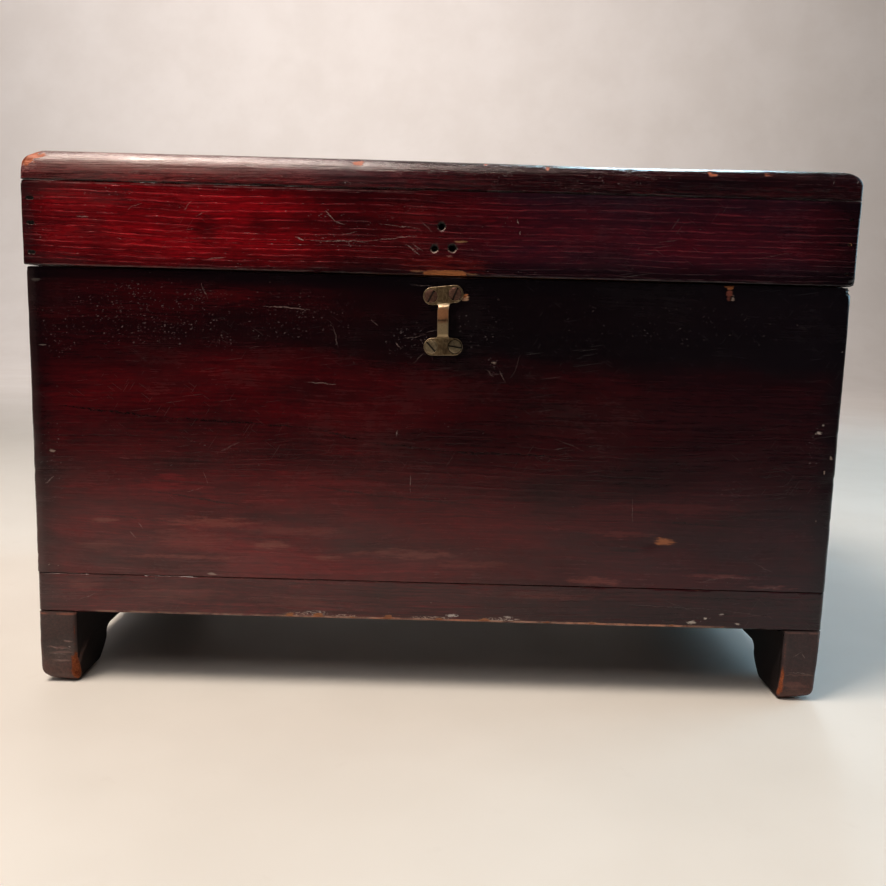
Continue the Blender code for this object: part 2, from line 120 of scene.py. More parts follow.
def bake_modifiers(obj):
    """Applies the object's modifiers to its mesh."""
    bpy.context.view_layer.update()
    graph = bpy.context.evaluated_depsgraph_get()
    mesh = bpy.data.meshes.new_from_object(obj.evaluated_get(graph), preserve_all_data_layers=True, depsgraph=graph)
    old = obj.data
    obj.modifiers.clear()
    obj.data = mesh
    bpy.data.meshes.remove(old)


def cut(obj, bms):
    """Cuts closed shapes (bmeshes in metres, in the row's frame) out of an object."""
    tool_mesh = bpy.data.meshes.new("cutter")
    joined = bmesh.new()
    for bm in bms:
        part = bpy.data.meshes.new("cutter_part")
        bm.to_mesh(part)
        bm.free()
        joined.from_mesh(part)
        bpy.data.meshes.remove(part)
    joined.to_mesh(tool_mesh)
    joined.free()
    tool = bpy.data.objects.new("cutter", tool_mesh)
    SCENE.collection.objects.link(tool)
    m = obj.modifiers.new("cut", "BOOLEAN")
    m.operation, m.solver, m.object = "DIFFERENCE", "EXACT", tool
    bake_modifiers(obj)
    bpy.data.objects.remove(tool, do_unlink=True)
    bpy.data.meshes.remove(tool_mesh)


def turned(profile, sides, wobble=None):
    """A closed turned solid about +Z in millimetres, its (radius, z) points running from one end of the axis to the other."""
    bm = bmesh.new()
    rings = []
    for r, z in profile:
        if r < 1e-6:
            rings.append([bm.verts.new((0, 0, z * MM))])
        else:
            ring = []
            for k in range(sides):
                a = 2 * math.pi * k / sides
                rr = r * (1 + (wobble(a, z) if wobble else 0.0))
                ring.append(bm.verts.new((rr * math.cos(a) * MM, rr * math.sin(a) * MM, z * MM)))
            rings.append(ring)
    for a, b in zip(rings, rings[1:]):
        for k in range(sides):
            j = (k + 1) % sides
            bm.faces.new([a[0], b[k], b[j]] if len(a) == 1 else [a[k], b[0], a[j]] if len(b) == 1 else [a[k], b[k], b[j], a[j]])
    bmesh.ops.recalc_face_normals(bm, faces=bm.faces)
    return bm


def placed(bm, at, turn=None):
    m = Matrix.Translation(Vector(at) * MM)
    bmesh.ops.transform(bm, matrix=m @ turn if turn else m, verts=bm.verts)
    return bm


OUT_FRONT = Matrix.Rotation(math.radians(90), 4, "X")    # +Z to -Y


def rounded_outline(points, radii, step, arc=4):
    """A closed outline, counter-clockwise, with rounded corners and points every `step`: (a, b, normal a, normal b, corner weight)."""
    n = len(points)
    out = []
    ends = []
    for i, (px, py) in enumerate(points):
        ax, ay = points[i - 1]
        bx, by = points[(i + 1) % n]
        la, lb = math.hypot(px - ax, py - ay), math.hypot(bx - px, by - py)
        da, db = ((px - ax) / la, (py - ay) / la), ((bx - px) / lb, (by - py) / lb)
        r = radii[i]
        na, nb = (da[1], -da[0]), (db[1], -db[0])
        if r <= 0:
            m = (na[0] + nb[0], na[1] + nb[1])
            k = max(0.4, (m[0] * na[0] + m[1] * na[1]))
            ends.append([(px, py, m[0] / k, m[1] / k, 0.0)])
            continue
        cross = da[0] * db[1] - da[1] * db[0]
        turn = math.atan2(cross, da[0] * db[0] + da[1] * db[1])
        t = r * math.tan(abs(turn) / 2)
        cx, cy = px - da[0] * t - na[0] * r * (1 if turn > 0 else -1), py - da[1] * t - na[1] * r * (1 if turn > 0 else -1)
        a0 = math.atan2(na[1], na[0]) if turn > 0 else math.atan2(-na[1], -na[0])
        arcpts = []
        for k in range(arc + 1):
            a = a0 + turn * k / arc
            ca, sa = math.cos(a), math.sin(a)
            s = 1 if turn > 0 else -1
            arcpts.append((cx + r * ca, cy + r * sa, s * ca, s * sa, math.sin(math.pi * k / arc)))
        ends.append(arcpts)
    for i in range(n):
        out += ends[i]
        a, b = ends[i][-1], ends[(i + 1) % n][0]
        length = math.hypot(b[0] - a[0], b[1] - a[1])
        k = max(1, int(round(length / step)))
        dx, dy = (b[0] - a[0]) / max(length, 1e-9), (b[1] - a[1]) / max(length, 1e-9)
        for j in range(1, k):
            t = j / k
            out.append((a[0] + (b[0] - a[0]) * t, a[1] + (b[1] - a[1]) * t, dy, -dx, 0.0))
    return out


def levels(t0, t1, r0, r1, step, fine=(), arc=4):
    """Stations along an extrusion with rounded ends: (t, inset, edge weight, end direction)."""
    out = []
    for k in range(arc + 1):
        a = math.radians(90 * (1 - k / arc))
        out.append((t0 + r0 * (1 - math.sin(a)), r0 * (1 - math.cos(a)), math.sin(2 * a), -math.sin(a)))
    mids = set()
    k = max(1, int(round((t1 - r1 - t0 - r0) / step)))
    for j in range(1, k):
        mids.add(round(t0 + r0 + (t1 - r1 - t0 - r0) * j / k, 4))
    for f in fine:
        if t0 + r0 + 0.2 < f < t1 - r1 - 0.2 and all(abs(f - m) > 0.15 for m in mids):
            mids.add(f)
    out += [(m, 0.0, 0.0, 0.0) for m in sorted(mids)]
    for k in range(arc + 1):
        a = math.radians(90 * k / arc)
        out.append((t1 - r1 * (1 - math.sin(a)), r1 * (1 - math.cos(a)), math.sin(2 * a), math.sin(a)))
    return out


def loft(name, outline, stations, place, inner=None, shape=None, seed=0.0, edge_wear=0.35, face_wave=0.06):
    """Pushes an outline through the stations. place(a, b, t) gives x, y, z; shape() may move a point and tell how bare its wood is."""
    pc = Piece(name)
    rings = []
    for t, inset, e, cap in stations:
        ring = []
        for a, b, na, nb, w in outline:
            pa, pb = a - na * inset, b - nb * inset
            k = math.sqrt(max(0.0, 1 - cap * cap))
            x, y, z = place(pa, pb, t)
            nx, ny, nz = place(na * k, nb * k, cap)
            edge = max(e, w)
            wear = edge * edge_wear * max(0.0, 0.35 + n1(x / 21, y / 21, z / 21, seed) + 0.5 * n1(x / 5, y / 5, z / 5, seed + 1))
            wave = face_wave * n1(x / 70, y / 40, z / 40, seed + 2)
            x, y, z = x - nx * (wear - wave), y - ny * (wear - wave), z - nz * (wear - wave)
            bare = 0.0
            inside = inner(x, y, z, nx, ny, nz) if inner else 0.0
            if shape:
                x, y, z, bare = shape(x, y, z, nx, ny, nz)
            ring.append(pc.add((x, y, z), edge, bare, inside))
        rings.append(ring)
    n = len(outline)
    for r0, r1 in zip(rings, rings[1:]):
        for i in range(n):
            j = (i + 1) % n
            pc.faces.append((r0[i], r0[j], r1[j], r1[i]))
    pc.faces.append(tuple(reversed(rings[0])))
    pc.faces.append(tuple(rings[-1]))
    return pc


def dents(spots):
    """A shape function from (x, y, z, radius, depth, bare) spots: worn hollows, pushed in along the surface normal."""
    def shape(x, y, z, nx, ny, nz):
        bare = 0.0
        for sx, sy, sz, r, depth, b in spots:
            d = math.sqrt((x - sx) ** 2 + (y - sy) ** 2 + (z - sz) ** 2) / r
            if d < 1.4:
                d += 0.30 * n1(x / 2.3, y / 2.3, z / 2.3, sx)
                f = 1 - smooth(d, 0.35, 1.0)
                x, y, z = x - nx * depth * f, y - ny * depth * f, z - nz * depth * f
                bare = max(bare, b * f)
        return x, y, z, bare
    return shape


# ---------------------------------------------------------------------------
# materials
# ---------------------------------------------------------------------------
class Tree:
    """Short names for building a shader tree."""

    def __init__(self, name):
        self.mat = bpy.data.materials.new(name)
        self.mat.use_nodes = True
        self.t = self.mat.node_tree
        self.bsdf = self.t.nodes["Principled BSDF"]
        tc = self.node("ShaderNodeTexCoord")
        sep = self.node("ShaderNodeSeparateXYZ")
        self.t.links.new(tc.outputs["Object"], sep.inputs[0])
        self.x, self.y, self.z = (self.m("MULTIPLY", sep.outputs[i], 1000.0) for i in range(3))

    def node(self, kind, **props):
        n = self.t.nodes.new(kind)
        for k, v in props.items():
            setattr(n, k, v)
        return n

    def put(self, socket, value):
        if isinstance(value, (int, float)):
            socket.default_value = value
        elif isinstance(value, (tuple, list)):
            socket.default_value = tuple(value) + ((1.0,) if len(value) == 3 and len(socket.default_value) == 4 else ())
        else:
            self.t.links.new(value, socket)

    def m(self, op, a, b=None, c=None, clamp=False):
        n = self.node("ShaderNodeMath", operation=op, use_clamp=clamp)
        for i, v in enumerate((a, b, c)):
            if v is not None:
                self.put(n.inputs[i], v)
        return n.outputs[0]

    def add(self, *v):
        out = v[0]
        for w in v[1:]:
            out = self.m("ADD", out, w)
        return out

    def mul(self, *v):
        out = v[0]
        for w in v[1:]:
            out = self.m("MULTIPLY", out, w)
        return out

    def inv(self, a):
        return self.m("SUBTRACT", 1.0, a)

    def max(self, *v):
        out = v[0]
        for w in v[1:]:
            out = self.m("MAXIMUM", out, w)
        return out

    def step(self, a, lo, hi, to0=0.0, to1=1.0):
        n = self.node("ShaderNodeMapRange", interpolation_type="SMOOTHSTEP")
        for i, v in enumerate((a, lo, hi, to0, to1)):
            self.put(n.inputs[i], v)
        return n.outputs[0]

    def vec(self, x, y, z):
        n = self.node("ShaderNodeCombineXYZ")
        for i, v in enumerate((x, y, z)):
            self.put(n.inputs[i], v)
        return n.outputs[0]

    def noise(self, vec, scale=1.0, detail=2.0, rough=0.5, distort=0.0):
        n = self.node("ShaderNodeTexNoise")
        self.put(n.inputs["Vector"], vec)
        n.inputs["Scale"].default_value = scale
        n.inputs["Detail"].default_value = detail
        n.inputs["Roughness"].default_value = rough
        n.inputs["Distortion"].default_value = distort
        return n.outputs["Fac"]

    def cells(self, vec, scale=1.0):
        n = self.node("ShaderNodeTexVoronoi")
        self.put(n.inputs["Vector"], vec)
        n.inputs["Scale"].default_value = scale
        return n.outputs["Distance"], n.outputs["Color"]

    def gauss(self, a, mid, width):
        d = self.m("DIVIDE", self.m("SUBTRACT", a, mid), width)
        return self.m("EXPONENT", self.mul(d, d, -1.0))

    def mix(self, f, a, b, blend="MIX"):
        n = self.node("ShaderNodeMix", data_type="RGBA", blend_type=blend)
        self.put(n.inputs[0], f)
        self.put(n.inputs[6], a)
        self.put(n.inputs[7], b)
        return n.outputs[2]

    def attr(self, name):
        return self.node("ShaderNodeAttribute", attribute_name=name).outputs["Fac"]

    def bump(self, height, distance_mm, strength=1.0, normal=None):
        n = self.node("ShaderNodeBump")
        n.inputs["Strength"].default_value = strength
        n.inputs["Distance"].default_value = distance_mm * MM
        self.put(n.inputs["Height"], height)
        if normal is not None:
            self.put(n.inputs["Normal"], normal)
        return n.outputs[0]

    def out(self, **values):
        for key, v in values.items():
            self.put(self.bsdf.inputs[key.replace("_", " ")], v)
        return self.mat


def axes(t, along):
    """Along the grain, across it on the board's face, and through the board."""
    if along == "xtop":       # runs over the rounded edge without a break
        return t.x, t.m("SUBTRACT", t.y, t.z), t.m("ADD", t.y, t.z)
    return {"x": (t.x, t.z, t.y), "y": (t.y, t.z, t.x)}[along]


def bare_wood(t, u, v, w, seed):
    """Colour of bare, aged softwood."""
    warp = t.noise(t.vec(t.mul(u, 0.012), t.mul(v, 0.05), t.add(t.mul(w, 0.05), seed)), 1.0, 2.0)
    rings = t.noise(t.vec(t.mul(u, 0.006), t.add(t.mul(v, 0.42), t.mul(warp, 2.2)), t.mul(w, 0.42)), 1.0, 2.0, 0.55)
    fibre = t.noise(t.vec(t.mul(u, 0.05), t.mul(v, 2.6), t.mul(w, 2.6)), 1.0, 3.0, 0.6)
    dirt = t.noise(t.vec(t.mul(u, 0.02), t.mul(v, 0.025), t.add(t.mul(w, 0.02), seed + 4.0)), 1.0, 4.0, 0.6)
    c = t.mix(t.step(rings, 0.40, 0.66), (0.42, 0.215, 0.095), (0.27, 0.115, 0.045))
    c = t.mix(t.step(fibre, 0.35, 0.75, 0.0, 0.35), c, (0.16, 0.065, 0.028))
    c = t.mix(t.step(dirt, 0.45, 0.75, 0.0, 0.55), c, (0.13, 0.065, 0.035))
    return c, rings, fibre


def lacquer(name, along, seed, tone, red=(0.30, 0.0028, 0.0072), black=(0.0024, 0.0013, 0.0024), ridge=2.6, relief=0.5, lines=0.5, wave=1.0, extra=None, worn=0.5,
            inside="bare", rough=(0.20, 0.34), raw=(0.46, 0.155, 0.05), marks=0.7, spec=0.34, haze_and_sheen=None, film=None, fine=1.0, soft=0.10, thick=0.085, proud=None, pale=(0.014, 0.0032, 0.0046), gloss=0.05, bite=0.0, slick=None):
    """Worn red lacquer over softwood. tone(t) gives how red (0 black, 1 full red) each place is, before grain and wear;
    haze_and_sheen(t) how dull, with painted sheen, film(t) with what colour.
    """
    t = Tree(name)
    u, v, w = axes(t, along)
    edge, bare, inner = t.attr("edge"), t.attr("bare"), t.attr("inner")

    def n(fu, fv, fw, shift, detail=2.0, rgh=0.5):
        return t.noise(t.vec(t.mul(u, fu), t.mul(v, fv), t.add(t.mul(w, fw), seed + shift)), 1.0, detail, rgh)

    # the grain bends slowly along the board and wobbles a little; growth rings stand proud as thin broken lines
    bend, wob = n(0.006, 0.014, 0.014, 0.0, 1.0), n(0.034, 0.08, 0.08, 2.0)
    v2 = t.add(v, t.mul(t.m("SUBTRACT", bend, 0.5), 9.0 * wave), t.mul(t.m("SUBTRACT", wob, 0.5), 1.9 * wave), t.mul(t.m("SUBTRACT", n(0.13, 0.22, 0.22, 4.4, 3.0, 0.6), 0.5), 1.1))
    across = lambda fu, fv, shift, detail=2.0, rgh=0.5: t.noise(t.vec(t.mul(u, fu), t.mul(v2, fv), t.add(t.mul(w, fv), seed + shift)), 1.0, detail, rgh)
    uneven = across(0.0015, 0.05, 6.0, 1.0)
    phase = t.m("FRACT", t.add(t.m("DIVIDE", t.add(v2, t.mul(w, 0.3)), ridge), t.mul(uneven, 3.4)))
    line = t.mul(t.gauss(phase, 0.5, thick), t.step(across(0.075, 0.46, 7.0, 5.0, 0.70), 0.41, 0.59, 0.05, 1.0))
    streak = across(0.012, 0.85, 1.0, 5.0, 0.72)
    fibre = across(0.09, 2.6, 0.5, 3.0, 0.65)
    fleck = across(0.16, 0.75, 9.0, 4.0, 0.68)
    cloud = n(0.013, 0.05, 0.04, 3.0, 5.0, 0.62)
    # how red: the painted tone, broken up by clouds, streaks and flecks
    k = t.mul(tone(t), t.step(cloud, 0.25, 0.70, 0.42, 1.45), t.step(streak, 0.30, 0.70, 1.0 - 0.50 * fine, 1.0 + 0.42 * fine), t.step(fleck, 0.30, 0.70, 1.0 - 0.34 * fine, 1.0 + 0.30 * fine))
    k = t.m("MULTIPLY", k, t.step(fibre, 0.28, 0.72, 1.0 - 0.34 * fine, 1.0 + 0.30 * fine), clamp=True)
    colour = t.mix(k, black, red)
    # the ring lines are made lighter: partly the grain's own colour, partly a painted highlight where their proud
    # ridges would catch light from above
    ring_tint_and_glint = t.mix(1.0, t.mix(1.0, colour, (2.5, 3.2, 2.8), "MULTIPLY"), pale, "ADD")
    colour = t.mix(t.mul(line, lines), colour, ring_tint_and_glint)
    if extra:
        colour = extra(t, colour, fibre)
    # a dull film mixed over the colour, partly painted sheen
    if haze_and_sheen:
        dull = t.mul(haze_and_sheen(t), t.step(n(0.02, 0.05, 0.03, 31.0, 5.0, 0.65), 0.25, 0.75, 0.65, 1.25), t.step(streak, 0.30, 0.70, 1.0 - 0.22 * fine, 1.0 + 0.22 * fine),
                     t.step(fibre, 0.28, 0.72, 1.0 - 0.16 * fine, 1.0 + 0.16 * fine))
        colour = t.mix(dull, colour, film(t) if film else (0.20, 0.135, 0.125))
    # thin, sparse scratches in three directions, gathered in patches; scuffs; a few pale nicks
    scratch = None
    for i, (ang, su, sv, cutoff) in enumerate(((9, 0.045, 2.6, 0.715), (-36, 0.075, 3.0, 0.725), (58, 0.07, 3.0, 0.73))):
        ca, sa = math.cos(math.radians(ang)), math.sin(math.radians(ang))
        su_, sv_ = t.add(t.mul(u, ca), t.mul(v, sa)), t.add(t.mul(u, -sa), t.mul(v, ca))
        sc = t.noise(t.vec(t.mul(su_, su), t.mul(sv_, sv), t.add(t.mul(w, 0.4), seed + 11.0 * (i + 1))), 1.0, 1.0, 0.5)
        sc = t.step(sc, cutoff, cutoff + 0.04)
        scratch = sc if scratch is None else t.max(scratch, sc)
    patch = t.step(n(0.013, 0.022, 0.02, 21.0), 0.46, 0.66)
    rag = n(0.33, 1.0, 1.0, 5.0, 4.0, 0.7)
    scuff = t.mul(t.step(rag, 0.60, 0.74), t.step(n(0.022, 0.05, 0.04, 17.0, 3.0), 0.47, 0.66))
    scratch = t.mul(scratch, patch)
    dist, rnd = t.cells(t.vec(t.mul(u, 0.17), t.mul(v, 0.26), t.add(t.mul(w, 0.2), seed)))
    sep = t.node("ShaderNodeSeparateColor")
    t.put(sep.inputs[0], rnd)
    nick = t.m("LESS_THAN", t.add(dist, t.mul(t.m("SUBTRACT", rag, 0.5), 0.12)), t.mul(t.step(sep.outputs[0], 0.91, 1.0), 0.11))
    colour = t.mix(t.mul(scratch, 0.30 * marks), colour, (0.24, 0.175, 0.17))
    colour = t.mix(t.mul(scuff, 0.16 * marks), colour, (0.13, 0.090, 0.095))
    colour = t.mix(t.mul(nick, 0.40 * marks), colour, (0.40, 0.30, 0.27))
    # edges: rubbed through to the wood where they stand out most
    rub = n(0.05, 0.16, 0.16, 5.0, 4.0, 0.65)
    ragged = t.add(t.mul(t.m("SUBTRACT", rub, 0.5), 1.5), t.mul(t.m("SUBTRACT", rag, 0.5), 1.3))
    rubbed = t.mul(t.step(t.add(edge, ragged), 1.30 - 0.45 * worn, 1.60 - 0.45 * worn), t.step(edge, 0.25, 0.7))
    thin = t.mul(edge, t.step(rub, 0.35, 0.62), 0.45 * worn)
    wood = t.mix(t.step(fibre, 0.3, 0.7), raw, tuple(0.38 * c for c in raw))
    wood = t.mix(t.step(streak, 0.45, 0.72, 0.0, 0.75), wood, tuple(c * f for c, f in zip(raw, (0.26, 0.12, 0.16))))
    colour = t.mix(thin, colour, (0.085, 0.030, 0.025))
    colour = t.mix(t.mul(rubbed, 0.8), colour, wood)
    chip = t.step(t.add(bare, t.mul(t.m("SUBTRACT", fibre, 0.5), 0.40), t.mul(t.m("SUBTRACT", rag, 0.5), 0.95)), 0.50 - soft, 0.50 + soft)
    chip = t.mul(chip, t.step(bare, 0.02, 0.15))
    colour = t.mix(chip, colour, wood)
    rgh = t.add(rough[0], t.mul(t.step(n(0.02, 0.03, 0.02, 41.0, 5.0, 0.65), 0.40, 0.75), rough[1] - rough[0]), t.step(streak, 0.36, 0.64, -0.5 * gloss, 0.5 * gloss), t.step(fibre, 0.34, 0.66, -0.3 * gloss, 0.3 * gloss), t.mul(scratch, 0.2),
                t.mul(scuff, 0.15), t.mul(chip, 0.48), t.mul(rubbed, 0.2))
    if slick:
        rgh = t.add(rgh, t.step(t.x, *slick))
    # inner faces and the arch's underside are darkened nearly black: painted shade, with some grime
    if inside == "grime_and_painted_shade":
        f = t.step(t.add(inner, t.mul(t.m("SUBTRACT", rub, 0.5), 0.3)), 0.40, 0.62)
        colour = t.mix(t.mul(f, 0.94), colour, t.mix(t.step(fibre, 0.3, 0.7), (0.0035, 0.0020, 0.0020), (0.0085, 0.0040, 0.0038)))
        rgh = t.add(t.mul(rgh, t.inv(f)), t.mul(f, 0.72))
    if inside == "bare":
        plain, rings2, fibre2 = bare_wood(t, u, v, w, seed + 40.0)
        f = t.step(t.add(inner, t.mul(t.m("SUBTRACT", rub, 0.5), 0.25)), 0.42, 0.58)
        colour = t.mix(f, colour, plain)
        rgh = t.add(t.mul(rgh, t.inv(f)), t.mul(f, 0.68))
    height = t.add(t.mul(line, relief if proud is None else proud), t.mul(streak, 0.60 * relief), t.mul(fibre, 0.26 * fine), t.mul(fleck, 0.25 * relief), t.mul(scratch, -0.35), t.mul(scuff, -0.2), t.mul(nick, -0.5), t.mul(chip, -0.7),
                   t.mul(chip, fibre, 0.5), t.mul(cloud, 0.25), *((t.step(streak, 0.36, 0.64, 0.0, bite),) if bite else ()))
    t.out(Base_Color=colour, Roughness=t.m("MINIMUM", t.m("MAXIMUM", rgh, 0.12), 0.9), Normal=t.bump(height, 0.16, 0.8))
    t.bsdf.inputs["IOR"].default_value = 1.5
    t.bsdf.inputs["Specular IOR Level"].default_value = spec
    return t.mat


def frame_dark(t, a, lo, hi, wide, seed, low=0.0):
    """1 inside, falling to `low` towards lo and hi, over a cloudy border."""
    wob = t.mul(t.m("SUBTRACT", t.noise(t.vec(t.mul(t.x, 0.03), t.mul(t.z, 0.06), t.add(t.mul(t.y, 0.03), seed)), 1.0, 3.0, 0.6), 0.5), wide * 1.1)
    b = t.add(a, wob)
    return t.mul(t.step(b, lo, lo + wide, low, 1.0), t.step(b, hi - wide, hi, 1.0, low))


def tone_lid_front(t):
    left = t.mul(t.step(t.x, -218.0, -178.0), t.step(t.x, -95.0, -38.0, 1.0, 0.0))
    middle = t.gauss(t.x, 2.0, 40.0)
    right = t.step(t.x, 30.0, 190.0, 1.0, 0.55)
    k = t.add(0.080, t.mul(left, 0.36), t.mul(middle, 0.060), t.mul(right, 0.034))
    low = t.step(t.add(t.z, t.mul(t.step(t.x, -120.0, 120.0), -5.0)), LZ0 - 2.0, LZ0 + 9.5, 0.16, 1.0)
    x = t.add(t.x, t.mul(t.m("SUBTRACT", t.noise(t.vec(t.mul(t.x, 0.03), t.mul(t.z, 0.08), 1.0), 1.0, 4.0, 0.65), 0.5), 16.0))
    return t.mul(k, low, t.step(x, LX0 + 1.0, LX0 + 11.0, 0.62, 1.0), t.step(x, LX1 - 30.0, LX1, 1.0, 0.22), t.step(t.z, LZ1 - 12.0, LZ1, 1.0, 0.55))


def tone_body_front(t):
    wob = t.mul(t.m("SUBTRACT", t.noise(t.vec(t.mul(t.x, 0.016), t.mul(t.z, 0.05), 3.0), 1.0, 5.0, 0.62), 0.5), 24.0)
    upper = t.step(t.add(t.z, wob, t.step(t.x, -20.0, 160.0, -4.5, -1.5)), RIM - 57.0, RIM - 38.0)
    low = t.mul(t.add(t.step(t.x, -150.0, 190.0, 0.130, 0.036), t.mul(t.gauss(t.x, -75.0, 45.0), 0.022)), t.step(t.z, RIM - 142.0, RIM - 78.0, 2.1, 1.0))
    high = t.mul(t.step(t.x, -175.0, 40.0, 0.080, 0.003), t.step(t.z, RIM - 10.0, RIM - 3.0, 1.0, 0.15), t.inv(t.mul(t.gauss(t.z, RIM - 30.0, 8.0), 0.45)))
    return t.mul(t.add(t.mul(low, t.inv(upper)), t.mul(high, upper)), frame_dark(t, t.x, FX0 + 1, FX1 - 1, 15.0, 2.0, 0.25))


def tone_base_front(t):
    return t.mul(t.step(t.x, -190.0, 190.0, 0.20, 0.06), frame_dark(t, t.x, FX0, FX1, 14.0, 3.0, 0.3))


# dull film with painted sheen on the body's front: stronger at the left and towards the floor, a strip along the left
# edge, and a little on the right
def haze_and_sheen_body(t):
    low = t.step(t.z, RIM - 155.0, RIM - 48.0, 1.0, 0.0)
    side = t.mul(t.step(t.x, FX0 + 1.0, FX0 + 6.5, 1.0, 0.0), t.step(t.z, PZ0, RIM - 50.0, 0.16, 0.07))
    cool = t.mul(t.step(t.x, -20.0, 160.0), 0.016)
    return t.add(t.mul(low, low, t.step(t.x, -150.0, 150.0, 0.185, 0.052)), side, cool)


# dull film with painted sheen on the base's front, stronger at the left
def haze_and_sheen_base(t):
    return t.step(t.x, -150.0, 150.0, 0.18, 0.045)


def film_and_sheen_front(t):
    """Colour of the dull film and painted sheen on the polish, cooler towards the right."""
    return t.mix(t.step(t.x, 20.0, 190.0), (0.20, 0.135, 0.132), (0.130, 0.118, 0.170))


def haze_lid(t):
    return t.mul(t.step(t.x, -20.0, 60.0, 0.0, 0.042), t.step(t.x, 165.0, 195.0, 1.0, 0.35), t.step(t.z, LZ0 + 1.0, LZ0 + 11.0, 0.3, 1.0))


def film_lid(t):
    return t.mix(0.5, (0.10, 0.085, 0.16), (0.12, 0.095, 0.20))


# dull film with painted sheen on the slab's front: a painted highlight band along the rounded edge at the left, and
# pinkish painted sheen lower on the left
def haze_and_sheen_top(t):
    wob = t.mul(t.m("SUBTRACT", t.noise(t.vec(t.mul(t.x, 0.03), t.mul(t.z, 0.9), 6.0), 1.0, 5.0, 0.7), 0.5), 7.0)
    painted_sheen_band = t.mul(t.step(t.x, -120.0, 10.0, 0.44, 0.0), t.step(t.add(t.z, wob), TZ0 + 2.5, TZ0 + 8.5), t.step(t.y, LYF + 4.0, LYF + 16.0, 1.0, 0.0))
    return t.add(t.mul(t.step(t.x, -80.0, 50.0, 0.085, 0.006), t.step(t.z, TZ0, TZ0 + 5.0, 0.4, 1.0)), painted_sheen_band, t.step(t.x, 30.0, 120.0, 0.0, 0.005))


# colour of the film and painted sheen: pinkish on the left, cooler on the right
def film_and_sheen_top(t):
    return t.mix(t.step(t.x, -150.0, 60.0), (0.34, 0.195, 0.185), (0.13, 0.095, 0.15))


def tone_top(t):
    face = t.step(t.z, TZ1 - 9.0, TZ1 - 0.5, 0.0, 1.0)
    centre = t.mul(frame_dark(t, t.x, LX0 + 2, LX1 - 2, 55.0, 4.0, 0.15), frame_dark(t, t.y, LYF + 2, YB - 2, 50.0, 5.0, 0.15))
    front = t.step(t.x, -150.0, 80.0, 0.32, 0.050)
    return t.add(t.mul(face, centre, 0.32), t.mul(t.inv(face), front))


def tone_side(z0, z1, strength):
    def tone(t):
        return t.mul(strength, frame_dark(t, t.y, YF, YB, 34.0, 6.0, 0.16), frame_dark(t, t.z, z0, z1, min(26.0, (z1 - z0) * 0.3), 7.0, 0.22))
    return tone


def tone_back(z0, z1, strength):
    def tone(t):
        return t.mul(strength, frame_dark(t, t.x, FX0, FX1, 40.0, 8.0, 0.16), frame_dark(t, t.z, z0, z1, min(26.0, (z1 - z0) * 0.3), 9.0, 0.22))
    return tone


def haze_and_sheen_side(t):
    """The sides and the back get a dull film with painted sheen as the front does, most near the floor."""
    low = t.step(t.z, BZ0, RIM - 40.0, 1.0, 0.0)
    return t.add(t.mul(low, low, 0.10), 0.006)


